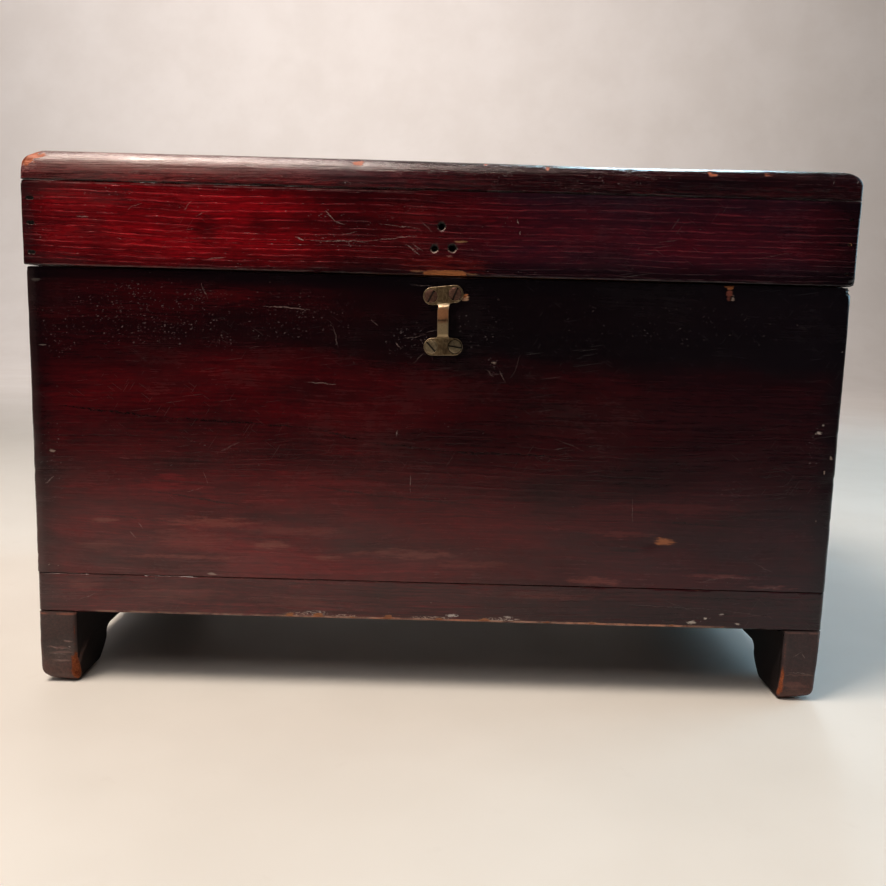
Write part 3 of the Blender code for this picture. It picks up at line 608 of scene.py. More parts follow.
def surface_marks(patches=(), cuts_=(), scuffs=(), edge_rubs_and_painted_light=(), cracks=(), flakes=()):
    """Marks on a front board: ragged, streaky patches (x, z, half width, half height, strength, colour), single
    scratches (x, z, x, z, width, strength), areas of fine specks (x, z, half width, half height, how thick), bands
    along edges (z, half height, x from, x to, strength, colour), some rubbed light and some painted shade in seams and
    painted highlight lines, dark hair cracks like the scratches, and broken flakes like the patches."""
    def extra(t, colour, fibre):
        rag = t.m("SUBTRACT", t.noise(t.vec(t.mul(t.x, 0.09), t.mul(t.z, 0.85), 0.3), 1.0, 5.0, 0.72), 0.5)
        # marks wander a little; scratches thin out at their ends and break off in places
        fx = t.add(t.x, t.mul(t.m("SUBTRACT", t.noise(t.vec(t.mul(t.x, 0.22), t.mul(t.z, 0.22), 4.0), 1.0, 3.0, 0.6), 0.5), 2.4))
        fz = t.add(t.z, t.mul(t.m("SUBTRACT", t.noise(t.vec(t.mul(t.x, 0.22), t.mul(t.z, 0.22), 9.0), 1.0, 3.0, 0.6), 0.5), 2.4))
        grain = t.m("SUBTRACT", fibre, 0.5)
        gx, gz, hx, hz = t.add(fx, t.mul(grain, 0.8)), t.add(fz, t.mul(grain, 0.3)), t.add(t.x, t.mul(grain, 1.2)), t.add(t.z, t.mul(grain, 0.25))
        rough_ = t.add(t.mul(rag, 5.0), t.mul(grain, 1.6))
        for x, z, a, b, strength, rgb in patches:
            dx, dz = t.m("DIVIDE", t.m("SUBTRACT", gx, x), a), t.m("DIVIDE", t.m("SUBTRACT", gz, z), b)
            d = t.add(t.mul(dx, dx), t.mul(dz, dz), rough_)
            colour = t.mix(t.mul(t.step(d, 0.0, 1.0, 1.0, 0.0), strength), colour, rgb)
        broken = t.step(t.noise(t.vec(t.mul(t.x, 0.7), t.mul(t.z, 0.7), 2.0), 1.0, 4.0, 0.7), 0.36, 0.60, 0.10, 1.0)
        def segments(items):
            mask = None
            for x0, z0, x1, z1, width, strength in items:
                lx, lz = x1 - x0, z1 - z0
                px, pz = t.m("SUBTRACT", fx, x0), t.m("SUBTRACT", fz, z0)
                h = t.m("DIVIDE", t.add(t.mul(px, lx), t.mul(pz, lz)), lx * lx + lz * lz, clamp=True)
                ex, ez = t.m("SUBTRACT", px, t.mul(h, lx)), t.m("SUBTRACT", pz, t.mul(h, lz))
                d = t.m("SQRT", t.add(t.mul(ex, ex), t.mul(ez, ez)))
                w = t.mul(t.step(t.m("ABSOLUTE", t.m("SUBTRACT", h, 0.5)), 0.15, 0.5, 1.0, 0.35), width)
                f = t.mul(t.step(d, t.mul(w, 0.25), t.mul(w, 0.62), 1.0, 0.0), strength)
                mask = f if mask is None else t.max(mask, f)
            return t.mul(mask, broken)

        if cracks:
            colour = t.mix(segments(cracks), colour, (0.0035, 0.0018, 0.0022))
        if cuts_:
            colour = t.mix(segments(cuts_), colour, (0.33, 0.25, 0.24))
        if flakes:
            bits = t.step(t.noise(t.vec(t.mul(t.x, 0.62), t.mul(t.z, 1.5), 7.0), 1.0, 4.0, 0.65), 0.50, 0.57)
            for x, z, a, b, strength, rgb in flakes:
                dx, dz = t.m("DIVIDE", t.m("SUBTRACT", gx, x), a), t.m("DIVIDE", t.m("SUBTRACT", hz, z), b)
                d = t.add(t.mul(dx, dx), t.mul(dz, dz))
                whole = t.max(bits, t.step(t.add(d, t.mul(rag, 0.8)), 0.10, 0.42, 1.0, 0.0)) if a < 4.5 else bits
                colour = t.mix(t.mul(t.step(d, 0.4, 1.0, 1.0, 0.0), whole, strength), colour, rgb)
        # dust-like specks and short ticks, thickest in the middle of their areas
        area_ = None
        for x, z, a, b, strength in scuffs:
            dx, dz = t.m("DIVIDE", t.m("SUBTRACT", gx, x), a), t.m("DIVIDE", t.m("SUBTRACT", gz, z), b)
            f = t.mul(t.step(t.add(t.mul(dx, dx), t.mul(dz, dz), t.mul(rag, 1.8)), 0.0, 1.0, 1.0, 0.0), strength)
            area_ = f if area_ is None else t.max(area_, f)
        if area_ is not None:
            specks = None
            for ang, k0, k1, seed, size in ((4, 0.62, 1.25, 1.0, 0.36), (-33, 0.95, 1.45, 5.0, 0.36), (28, 0.40, 1.5, 8.0, 0.30)):
                ca, sa = math.cos(math.radians(ang)), math.sin(math.radians(ang))
                a_, b_ = t.add(t.mul(fx, ca), t.mul(fz, sa)), t.add(t.mul(fx, -sa), t.mul(fz, ca))
                dist, rnd = t.cells(t.vec(t.mul(a_, k0), t.mul(b_, k1), seed))
                sep = t.node("ShaderNodeSeparateColor")
                t.put(sep.inputs[0], rnd)
                there = t.step(t.m("SUBTRACT", t.add(sep.outputs[0], area_), 1.0), 0.0, 0.10)
                reach = t.step(sep.outputs[2], 0.0, 1.0, 0.55 * size, 1.1 * size)
                dot = t.mul(t.step(dist, t.mul(reach, 0.3), reach, 1.0, 0.0), there, t.step(sep.outputs[1], 0.0, 1.0, 0.15, 1.0))
                specks = dot if specks is None else t.max(specks, dot)
            colour = t.mix(t.mul(specks, 0.46), colour, (0.24, 0.20, 0.205))
        # bands along edges: rubbed wear, painted shade in seams and painted highlight lines
        if edge_rubs_and_painted_light:
            gaps = t.step(t.noise(t.vec(t.mul(t.x, 0.11), 2.0, t.mul(t.z, 0.08)), 1.0, 4.0, 0.7), 0.38, 0.58, 0.15, 1.0)
        for z, height, x0, x1, strength, rgb in edge_rubs_and_painted_light:
            at = t.add(hz, t.mul(rag, 0.5))
            on = t.mul(t.step(at, z - height, z - 0.45 * height), t.step(at, z + 0.45 * height, z + height, 1.0, 0.0), t.step(hx, x0, x0 + 12.0), t.step(hx, x1 - 12.0, x1, 1.0, 0.0))
            colour = t.mix(t.mul(on, gaps, strength), colour, rgb)
        return colour
    return extra


ORANGE = (0.40, 0.13, 0.04)
PALE = (0.34, 0.26, 0.22)
TAN = (0.30, 0.17, 0.085)
body_marks = surface_marks((
    (-132.0, RIM - 102.5, 9.0, 2.0, 0.34, (0.20, 0.005, 0.009)), (-140.0, RIM - 107.5, 14.0, 2.4, 0.36, (0.18, 0.006, 0.009)), (-122.0, RIM - 107.5, 12.0, 2.0, 0.32, (0.17, 0.008, 0.010)), (-101.0, RIM - 12.0, 16.0, 5.0, 0.14, (0.16, 0.004, 0.005)),
    (-114.0, RIM - 125.5, 26.0, 3.0, 0.42, (0.24, 0.058, 0.042)), (-122.0, RIM - 135.0, 22.0, 7.5, 0.30, (0.22, 0.050, 0.040)), (-84.0, RIM - 136.5, 11.0, 2.4, 0.42, (0.25, 0.085, 0.062)),
    (-70.0, RIM - 129.0, 30.0, 2.6, 0.24, (0.22, 0.060, 0.046)), (-128.0, RIM - 144.0, 30.0, 1.3, 0.40, (0.23, 0.062, 0.048)), (-170.0, RIM - 139.0, 14.0, 3.0, 0.22, (0.22, 0.070, 0.055)),
    (-166.0, RIM - 126.0, 9.0, 1.5, 0.34, (0.26, 0.10, 0.075)), (-14.0, RIM - 139.5, 30.0, 3.0, 0.36, (0.23, 0.070, 0.055)), (-52.0, RIM - 142.5, 9.0, 1.6, 0.36, (0.25, 0.080, 0.060)),
    (22.0, RIM - 144.0, 26.0, 2.4, 0.28, (0.20, 0.050, 0.038)), (83.0, RIM - 151.0, 17.0, 2.4, 0.50, (0.20, 0.048, 0.038)), (96.0, RIM - 126.0, 17.0, 1.8, 0.30, (0.17, 0.030, 0.025)),
    (146.0, RIM - 147.0, 17.0, 1.2, 0.40, (0.18, 0.048, 0.042)), (173.0, RIM - 152.0, 13.0, 1.2, 0.34, (0.18, 0.050, 0.044)), (120.0, RIM - 112.0, 40.0, 3.0, 0.16, (0.16, 0.020, 0.020)),
    (117.5, RIM - 129.5, 6.4, 1.9, 0.95, (0.29, 0.095, 0.034)),
    (142.0, RIM - 3.5, 1.6, 5.0, 0.60, (0.20, 0.060, 0.040)), (144.0, RIM - 6.5, 1.0, 1.6, 0.60, PALE),
    (12.9, RIM - 9.8, 2.1, 1.9, 0.90, (0.46, 0.27, 0.17)),
    (-192.0, RIM - 91.0, 1.5, 0.9, 0.6, PALE), (-195.3, RIM - 150.0, 0.7, 0.5, 0.9, PALE), (-191.0, RIM - 150.3, 0.5, 0.4, 0.8, PALE), (-193.4, RIM - 77.5, 1.2, 0.9, 0.9, (0.002, 0.002, 0.002)),
    (-197.0, RIM - 6.5, 2.4, 1.0, 0.35, (0.13, 0.12, 0.11)), (-195.0, RIM - 38.0, 2.0, 0.6, 0.40, (0.24, 0.21, 0.19)),
    (199.0, RIM - 84.0, 0.6, 1.1, 0.7, PALE), (196.0, RIM - 91.5, 0.5, 1.0, 0.6, PALE), (194.0, RIM - 117.0, 0.5, 1.2, 0.6, PALE),
    (28.0, RIM - 41.0, 1.3, 0.8, 0.5, PALE), (-112.0, RIM - 152.6, 2.6, 0.5, 0.8, PALE),
), (
    (-19.0, RIM - 76.0, -19.3, RIM - 79.0, 0.5, 0.7), (-12.0, RIM - 98.0, -11.6, RIM - 107.0, 0.35, 0.40), (-116.5, RIM - 6.5, -113.0, RIM - 13.5, 0.5, 0.28), (-86.0, RIM - 16.4, -63.0, RIM - 17.4, 0.5, 0.50),
    (-51.5, RIM - 25.0, -49.0, RIM - 35.5, 0.42, 0.36), (-33.0, RIM - 21.6, -29.8, RIM - 24.4, 0.5, 0.40), (-21.0, RIM - 32.4, -18.0, RIM - 35.2, 0.5, 0.55), (-66.0, RIM - 53.0, -50.0, RIM - 53.9, 0.5, 0.42),
    (24.0, RIM - 44.5, 28.0, RIM - 48.0, 0.4, 0.26), (31.0, RIM - 45.0, 34.0, RIM - 50.5, 0.45, 0.30), (60.0, RIM - 78.0, 75.0, RIM - 84.0, 0.35, 0.14), (100.5, RIM - 108.0, 101.0, RIM - 120.0, 0.35, 0.28),
    (-5.5, RIM - 27.2, 0.0, RIM - 25.6, 0.4, 0.40), (-17.0, RIM - 30.5, -6.0, RIM - 28.5, 0.35, 0.32), (-6.0, RIM - 36.5, -11.5, RIM - 42.0, 0.35, 0.22), (-3.0, RIM - 36.0, -2.0, RIM - 41.0, 0.3, 0.22),
    (-14.0, RIM - 4.2, -2.5, RIM - 4.6, 0.4, 0.26), (41.0, RIM - 37.0, 38.0, RIM - 46.0, 0.3, 0.16), (-154.0, RIM - 131.0, -151.0, RIM - 134.5, 0.5, 0.40), (-149.5, RIM - 127.0, -147.5, RIM - 130.0, 0.5, 0.40),
    (-116.0, RIM - 99.0, -114.0, RIM - 106.0, 0.35, 0.28), (-125.0, RIM - 110.5, -116.0, RIM - 107.5, 0.35, 0.28), (163.0, RIM - 139.0, 174.0, RIM - 144.0, 0.4, 0.26), (137.0, RIM - 150.5, 148.0, RIM - 147.5, 0.7, 0.22),
    (168.0, RIM - 153.0, 178.0, RIM - 151.4, 0.7, 0.20), (148.0, RIM - 147.5, 163.0, RIM - 147.8, 0.6, 0.20), (-196.0, RIM - 108.0, -191.5, RIM - 104.0, 0.7, 0.55), (-109.0, RIM - 90.0, -98.0, RIM - 84.0, 0.9, 0.10),
), (
    (-154.0, RIM - 9.0, 15.0, 4.0, 0.62), (-118.0, RIM - 12.0, 22.0, 5.0, 0.50), (-145.0, RIM - 22.0, 50.0, 20.0, 0.36), (-105.0, RIM - 35.0, 8.0, 5.0, 0.60), (-70.0, RIM - 22.0, 50.0, 18.0, 0.20), (-185.0, RIM - 30.0, 14.0, 18.0, 0.30),
    (-14.0, RIM - 30.0, 18.0, 12.0, 0.34), (20.0, RIM - 24.0, 14.0, 14.0, 0.26), (28.0, RIM - 42.0, 8.0, 5.0, 0.34), (110.0, RIM - 20.0, 80.0, 22.0, 0.10), (0.0, RIM - 70.0, 50.0, 14.0, 0.10),
    (190.0, RIM - 80.0, 9.0, 14.0, 0.30), (-192.0, RIM - 98.0, 8.0, 30.0, 0.24), (-110.0, RIM - 92.0, 60.0, 14.0, 0.06), (150.0, RIM - 150.0, 30.0, 5.0, 0.10), (0.0, RIM - 80.0, 215.0, 90.0, 0.035),
), (), (
    (-188.0, RIM - 68.0, -138.0, RIM - 72.5, 1.3, 0.85), (-138.0, RIM - 72.5, -61.0, RIM - 76.0, 1.1, 0.80), (-61.0, RIM - 76.0, -36.0, RIM - 82.0, 1.1, 0.80), (-36.0, RIM - 82.0, 3.0, RIM - 86.0, 1.1, 0.85),
    (3.0, RIM - 86.0, 62.0, RIM - 87.0, 1.1, 0.80), (-143.0, RIM - 110.0, -93.0, RIM - 117.0, 1.1, 0.80), (-65.0, RIM - 105.0, -25.0, RIM - 110.0, 1.1, 0.80), (-25.0, RIM - 110.0, 20.0, RIM - 113.0, 1.0, 0.70),
    (110.0, RIM - 119.0, 165.0, RIM - 121.0, 1.1, 0.80), (130.0, RIM - 145.0, 196.0, RIM - 146.0, 1.1, 0.80), (88.0, RIM - 135.0, 108.0, RIM - 134.0, 1.1, 0.80), (-180.0, RIM - 122.0, -120.0, RIM - 127.0, 0.9, 0.60),
), (
    (191.4, RIM - 71.8, 2.0, 1.0, 0.80, (0.42, 0.36, 0.33)), (193.4, RIM - 67.8, 0.9, 0.8, 0.60, (0.42, 0.36, 0.33)),
))
lid_marks = surface_marks((
    (4.0, LZ0 + 4.5, 22.0, 5.0, 0.25, (0.22, 0.014, 0.008)),
    (10.2, LZ0 + 16.6, 4.6, 0.8, 0.60, TAN), (-10.2, LZ0 + 1.6, 3.6, 0.6, 0.36, TAN), (15.8, LZ0 + 0.8, 3.6, 0.6, 0.45, TAN), (5.0, LZ0 + 9.4, 2.0, 0.8, 0.45, (0.32, 0.16, 0.14)),
    (-190.0, LZ0 + 36.5, 17.0, 7.0, 0.28, (0.050, 0.024, 0.024)), (-158.0, LZ0 + 33.0, 16.0, 5.0, 0.40, (0.040, 0.012, 0.014)), (-200.5, LZ0 + 20.0, 4.0, 24.0, 0.30, (0.026, 0.015, 0.018)),
    (-113.0, LZ0 + 19.0, 8.0, 9.0, 0.50, (0.012, 0.001, 0.002)), (-131.0, LZ0 + 30.0, 9.0, 6.0, 0.40, (0.020, 0.002, 0.003)), (-86.0, LZ0 + 24.0, 7.0, 10.0, 0.35, (0.014, 0.001, 0.002)), (-140.0, LZ0 + 9.0, 12.0, 4.0, 0.35, (0.020, 0.002, 0.003)),
    (-168.0, LZ0 + 17.0, 9.0, 6.0, 0.35, (0.030, 0.004, 0.006)), (-190.0, LZ0 + 3.0, 22.0, 4.5, 0.30, (0.030, 0.014, 0.016)),
), (
    (-55.5, LZ0 + 29.5, -51.5, LZ0 + 24.5, 0.6, 0.7), (-51.5, LZ0 + 24.5, -46.5, LZ0 + 22.8, 0.5, 0.6), (-62.5, LZ0 + 15.0, -36.0, LZ0 + 15.2, 0.45, 0.6), (-36.0, LZ0 + 15.2, -11.5, LZ0 + 18.6, 0.4, 0.5),
    (-70.0, LZ0 + 16.0, -66.5, LZ0 + 15.0, 0.8, 0.75), (-15.5, LZ0 + 13.8, -9.8, LZ0 + 9.6, 0.55, 0.55), (-13.5, LZ0 + 14.6, -8.5, LZ0 + 11.0, 0.45, 0.5), (-29.0, LZ0 + 23.6, -10.0, LZ0 + 22.0, 0.35, 0.4),
    (-118.0, LZ0 + 24.5, -112.0, LZ0 + 28.0, 0.4, 0.3), (-176.0, LZ0 + 23.6, -170.0, LZ0 + 23.3, 0.6, 0.7), (37.0, LZ0 + 27.5, 37.2, LZ0 + 25.5, 0.6, 0.7), (38.6, LZ0 + 22.0, 38.8, LZ0 + 20.6, 0.6, 0.7),
    (-47.0, LZ0 + 18.0, -40.0, LZ0 + 20.0, 0.35, 0.4), (155.0, LZ0 + 12.0, 171.0, LZ0 + 15.5, 0.4, 0.15), (-10.0, LZ0 + 26.0, -4.0, LZ0 + 20.5, 0.35, 0.4), (-120.0, LZ0 + 32.0, -124.0, LZ0 + 27.5, 0.4, 0.3),
    (-152.0, LZ0 + 27.0, -144.0, LZ0 + 30.5, 0.4, 0.3), (-112.0, LZ0 + 4.8, -104.0, LZ0 + 5.8, 0.45, 0.45),
), (
    (-54.0, LZ0 + 26.0, 16.0, 8.0, 0.30), (-30.0, LZ0 + 26.0, 18.0, 8.0, 0.18), (-13.0, LZ0 + 31.0, 9.0, 3.4, 0.50), (-12.0, LZ0 + 12.0, 7.0, 6.0, 0.26), (36.0, LZ0 + 25.0, 10.0, 7.0, 0.20), (-48.0, LZ0 + 16.0, 22.0, 5.0, 0.26), (0.0, LZ0 + 22.0, 215.0, 26.0, 0.05),
    (-120.0, LZ0 + 29.0, 14.0, 5.0, 0.14), (-92.0, LZ0 + 3.0, 14.0, 5.0, 0.18), (-196.0, LZ0 + 20.0, 9.0, 22.0, 0.16), (-165.0, LZ0 + 34.0, 26.0, 5.0, 0.22), (30.0, LZ0 + 4.0, 30.0, 5.0, 0.10),
), (
    # edge bands: a painted highlight line under the top edge, painted shade in the seam under the slab, and pale lines
    # along the lower edge, partly rubbed wear and partly painted edge highlight
    (LZ1 - 1.0, 0.45, -202.0, -10.0, 0.40, (0.24, 0.12, 0.12)), (LZ1, 0.55, -230.0, 230.0, 0.9, (0.004, 0.002, 0.002)), (LZ0 + 0.5, 0.5, -200.0, -60.0, 0.20, (0.20, 0.12, 0.115)), (LZ0 + 0.5, 0.4, 20.0, 170.0, 0.22, (0.14, 0.11, 0.12)),
))
top_marks = surface_marks((), (), (
    (22.0, TZ0 + 6.0, 16.0, 6.0, 0.50), (72.0, TZ0 + 5.0, 26.0, 6.0, 0.36), (95.0, TZ0 + 7.0, 12.0, 5.0, 0.40), (-20.0, TZ0 + 6.0, 20.0, 6.0, 0.18),
), (
    # painted shade in the seam along the slab's lower edge
    (TZ0 + 0.1, 0.6, -230.0, 230.0, 0.92, (0.003, 0.0015, 0.0018)),
))
base_marks = surface_marks((
    (-130.0, BZ0 + 11.0, 26.0, 5.0, 0.20, (0.21, 0.060, 0.048)), (-178.0, BZ0 + 15.0, 9.0, 3.4, 0.30, (0.22, 0.060, 0.050)), (-70.0, BZ0 + 8.0, 22.0, 4.0, 0.16, (0.21, 0.065, 0.05)), (60.0, BZ0 + 15.0, 26.0, 2.6, 0.20, (0.18, 0.045, 0.035)),
), (
    (-100.0, BZ0 + 9.0, -70.0, BZ0 + 11.0, 0.35, 0.20), (120.0, BZ0 + 14.0, 138.0, BZ0 + 8.0, 0.35, 0.12), (-182.0, BZ0 + 6.0, -172.0, BZ0 + 10.0, 0.4, 0.3), (100.0, BZ0 + 11.5, 150.0, BZ0 + 10.0, 0.4, 0.16), (150.0, BZ0 + 10.0, 176.0, BZ0 + 6.5, 0.4, 0.16),
), ((-190.0, BZ0 + 10.0, 10.0, 9.0, 0.18), (128.0, BZ0 + 4.0, 22.0, 5.0, 0.22), (-40.0, BZ0 + 2.5, 60.0, 3.0, 0.18)), (
    (BZ0 + 0.7, 0.75, -178.0, 158.0, 0.70, (0.30, 0.165, 0.115)), (BZ0 + 0.7, 0.75, -86.0, 136.0, 0.70, (0.42, 0.235, 0.165)),
    (BZ0 + 0.7, 0.80, -34.0, -9.0, 0.75, (0.46, 0.170, 0.085)), (BZ0 + 0.7, 0.80, 4.0, 30.0, 0.75, (0.46, 0.170, 0.085)), (BZ0 + 0.7, 0.80, 64.0, 137.0, 0.70, (0.46, 0.185, 0.100)),
), (), (
    (-69.0, BZ0 + 1.9, 7.0, 1.3, 0.85, (0.46, 0.34, 0.29)), (-59.0, BZ0 + 2.6, 7.0, 1.5, 0.85, (0.50, 0.44, 0.41)), (-44.0, BZ0 + 1.5, 8.0, 1.0, 0.80, (0.44, 0.33, 0.28)), (0.0, BZ0 + 1.6, 12.0, 1.1, 0.75, (0.44, 0.33, 0.28)),
    (11.0, BZ0 + 3.2, 4.0, 1.1, 0.85, (0.50, 0.45, 0.43)), (36.0, BZ0 + 1.8, 12.0, 1.2, 0.80, (0.46, 0.38, 0.34)), (40.0, BZ0 + 3.0, 3.0, 0.9, 0.80, (0.48, 0.42, 0.39)), (134.2, BZ0 + 3.0, 3.2, 1.2, 0.80, (0.52, 0.46, 0.41)),
    (141.5, BZ0 + 5.2, 1.7, 0.7, 0.90, (0.56, 0.50, 0.45)), (149.5, BZ0 + 7.6, 1.6, 0.6, 0.65, (0.50, 0.44, 0.40)), (158.0, BZ0 + 2.6, 2.0, 0.8, 0.65, (0.48, 0.40, 0.36)),
))

MAT_LID_FRONT = lacquer("lacquer_lid_front", "x", 1.3, tone_lid_front, ridge=3.0, relief=0.8, lines=1.0, extra=lid_marks, worn=0.34, spec=0.24, fine=0.80, marks=0.06, thick=0.080, haze_and_sheen=haze_lid, film=film_lid)
MAT_BODY_FRONT = lacquer("lacquer_body_front", "x", 4.1, tone_body_front, ridge=3.0, relief=0.15, lines=0.08, wave=1.5, pale=(0.003, 0.0012, 0.0012), extra=body_marks, worn=0.30, spec=0.28, haze_and_sheen=haze_and_sheen_body, film=film_and_sheen_front, fine=0.62, marks=0.12)
MAT_BASE_FRONT = lacquer("lacquer_base_front", "x", 7.7, tone_base_front, ridge=3.0, relief=0.4, lines=0.20, extra=base_marks, worn=0.50, spec=0.32, haze_and_sheen=haze_and_sheen_base, film=film_and_sheen_front, raw=(0.48, 0.19, 0.085), marks=0.3)
MAT_TOP = lacquer("lacquer_lid_top", "xtop", 2.6, tone_top, ridge=1.9, relief=1.0, proud=0.2, lines=0.20, extra=top_marks, worn=0.30, rough=(0.22, 0.32), spec=0.60, haze_and_sheen=haze_and_sheen_top, film=film_and_sheen_top, fine=1.5, raw=(0.54, 0.105, 0.009), marks=0.4, gloss=0.30, bite=0.36, slick=(-130.0, 10.0, 0.04, -0.09))
MAT_SIDE = lacquer("lacquer_side", "y", 9.4, tone_side(PZ0, RIM, 0.19), ridge=3.2, relief=0.4, lines=0.25, wave=0.8, worn=0.35, marks=0.4, haze_and_sheen=haze_and_sheen_side, spec=0.30)
MAT_LID_SIDE = lacquer("lacquer_lid_side", "y", 11.8, tone_side(LZ0, LZ1, 0.28), ridge=3.0, relief=0.8, lines=0.8, worn=0.40, marks=0.4, fine=0.8, spec=0.28)
MAT_BASE_SIDE = lacquer("lacquer_base_side", "y", 13.1, tone_side(BZ0, BZ1, 0.19), ridge=3.0, relief=0.4, lines=0.2, worn=0.5, marks=0.4, haze_and_sheen=haze_and_sheen_side, spec=0.30)
MAT_BACK = lacquer("lacquer_back", "x", 15.9, tone_back(PZ0, RIM, 0.18), ridge=3.4, relief=0.4, lines=0.22, wave=1.0, worn=0.35, marks=0.4, haze_and_sheen=haze_and_sheen_side, spec=0.30)
MAT_LID_BACK = lacquer("lacquer_lid_back", "x", 17.2, tone_back(LZ0, LZ1, 0.27), ridge=3.0, relief=0.8, lines=0.8, worn=0.40, marks=0.4, fine=0.8, spec=0.28)
MAT_BASE_BACK = lacquer("lacquer_base_back", "x", 19.5, tone_back(BZ0, BZ1, 0.18), ridge=3.0, relief=0.4, lines=0.2, worn=0.5, marks=0.4, haze_and_sheen=haze_and_sheen_side, spec=0.30)


def tone_runner(t):
    return t.mul(0.14, t.step(t.z, 0.0, 22.0, 1.9, 0.7))


# dull film with painted sheen on the runners' fronts, stronger on the left runner and near the floor
def haze_and_sheen_runner(t):
    return t.mul(t.step(t.x, -150.0, 150.0, 0.27, 0.15), t.step(t.z, 2.0, 30.0, 1.15, 0.85))


# colour of the film and painted sheen: warmer near the floor, greyer higher up and cooler to the right
def film_and_sheen_runner(t):
    return t.mix(t.step(t.z, 2.0, 24.0), (0.235, 0.165, 0.145), t.mix(t.step(t.x, -100.0, 100.0), (0.185, 0.172, 0.168), (0.140, 0.142, 0.158)))


runner_marks = surface_marks((
    (-192.0, 19.0, 7.0, 0.9, 0.40, (0.30, 0.12, 0.10)), (-191.0, 16.4, 6.0, 0.7, 0.40, (0.30, 0.15, 0.13)), (-190.0, 12.0, 5.0, 0.8, 0.35, (0.30, 0.17, 0.15)), (-187.0, 22.5, 3.0, 0.6, 0.40, (0.30, 0.15, 0.13)),
    (192.0, 14.5, 7.0, 0.8, 0.30, (0.26, 0.13, 0.11)), (190.0, 9.0, 7.0, 2.4, 0.25, (0.26, 0.09, 0.07)),
), (
    (-198.0, 19.4, -186.0, 18.2, 0.45, 0.5), (-197.0, 15.8, -188.0, 15.4, 0.4, 0.5), (-196.0, 12.6, -187.0, 11.8, 0.4, 0.4), (-189.5, 22.8, -185.5, 22.4, 0.4, 0.5), (-186.3, 20.0, -185.9, 19.3, 0.7, 0.7),
    (186.0, 16.0, 198.0, 15.0, 0.4, 0.4), (188.0, 24.0, 192.0, 27.0, 0.35, 0.35), (192.5, 27.0, 194.0, 23.5, 0.35, 0.35),
), ((-191.0, 16.0, 8.0, 9.0, 0.16), (192.0, 16.0, 9.0, 10.0, 0.12)), ((RZ1 - 0.9, 0.8, -215.0, -160.0, 0.75, (0.30, 0.085, 0.045)), (RZ1 - 0.9, 0.6, 160.0, 215.0, 0.45, (0.24, 0.10, 0.075))))
MAT_RUNNER = lacquer("lacquer_runner", "y", 21.3, tone_runner, red=(0.20, 0.022, 0.016), black=(0.010, 0.0075, 0.0072), ridge=3.4, relief=0.4, lines=0.12, extra=runner_marks, worn=0.62, inside="grime_and_painted_shade",
                     rough=(0.42, 0.62), spec=0.22, haze_and_sheen=haze_and_sheen_runner, film=film_and_sheen_runner, raw=(0.36, 0.095, 0.032), soft=0.30, fine=0.9)


def mat_bare(name, along, seed, under):
    """Bare wood, dark with age and dirt on its underside."""
    t = Tree(name)
    u, v, w = axes(t, along)
    c, rings, fibre = bare_wood(t, u, v, w, seed)
    dark = t.mix(t.step(fibre, 0.3, 0.7), (0.030, 0.016, 0.011), (0.060, 0.033, 0.022))
    c = t.mix(t.step(t.z, under + 0.1, under + 0.7, 1.0, 0.0), c, dark)
    return t.out(Base_Color=c, Roughness=t.step(rings, 0.3, 0.7, 0.62, 0.76), Normal=t.bump(t.add(t.mul(rings, 0.6), t.mul(fibre, 0.5)), 0.12, 0.7))


MAT_BOTTOM = mat_bare("bare_bottom_board", "xtop", 33.0, span("bottom_board")[4])


def mat_brass(name, seed, bright=0.5):
    """Old brass: dull brown film, rubbed yellow on the high spots."""
    t = Tree(name)
    p = t.vec(t.x, t.y, t.z)
    film = t.noise(p, 0.55, 5.0, 0.65)
    fine = t.noise(p, 3.2, 4.0, 0.6)
    spot = t.noise(t.vec(t.add(t.x, seed), t.y, t.z), 1.3, 3.0, 0.6)
    c = t.mix(t.step(film, 0.36, 0.66), (0.24, 0.165, 0.085), (0.46, 0.36, 0.20))
    c = t.mix(t.mul(t.step(spot, 0.5, 0.72), 0.7), c, (0.085, 0.06, 0.04))
    c = t.mix(t.mul(t.step(fine, 0.52, 0.75), bright * 0.6), c, (0.72, 0.58, 0.34))
    return t.out(Base_Color=c, Metallic=t.step(spot, 0.4, 0.8, 0.95, 0.65), Roughness=t.add(0.30, t.mul(film, 0.22), t.mul(fine, 0.12)),
                 Normal=t.bump(t.add(t.mul(film, 0.4), t.mul(fine, 0.6)), 0.06, 0.7))


def mat_iron(name):
    t = Tree(name)
    p = t.vec(t.x, t.y, t.z)
    rust = t.noise(p, 1.1, 5.0, 0.65)
    fine = t.noise(p, 4.0, 3.0, 0.6)
    c = t.mix(t.step(rust, 0.42, 0.65), (0.022, 0.020, 0.019), (0.055, 0.027, 0.016))
    return t.out(Base_Color=c, Metallic=t.step(rust, 0.4, 0.65, 0.5, 0.1), Roughness=t.add(0.50, t.mul(fine, 0.35)), Normal=t.bump(t.add(rust, fine), 0.08, 0.6))


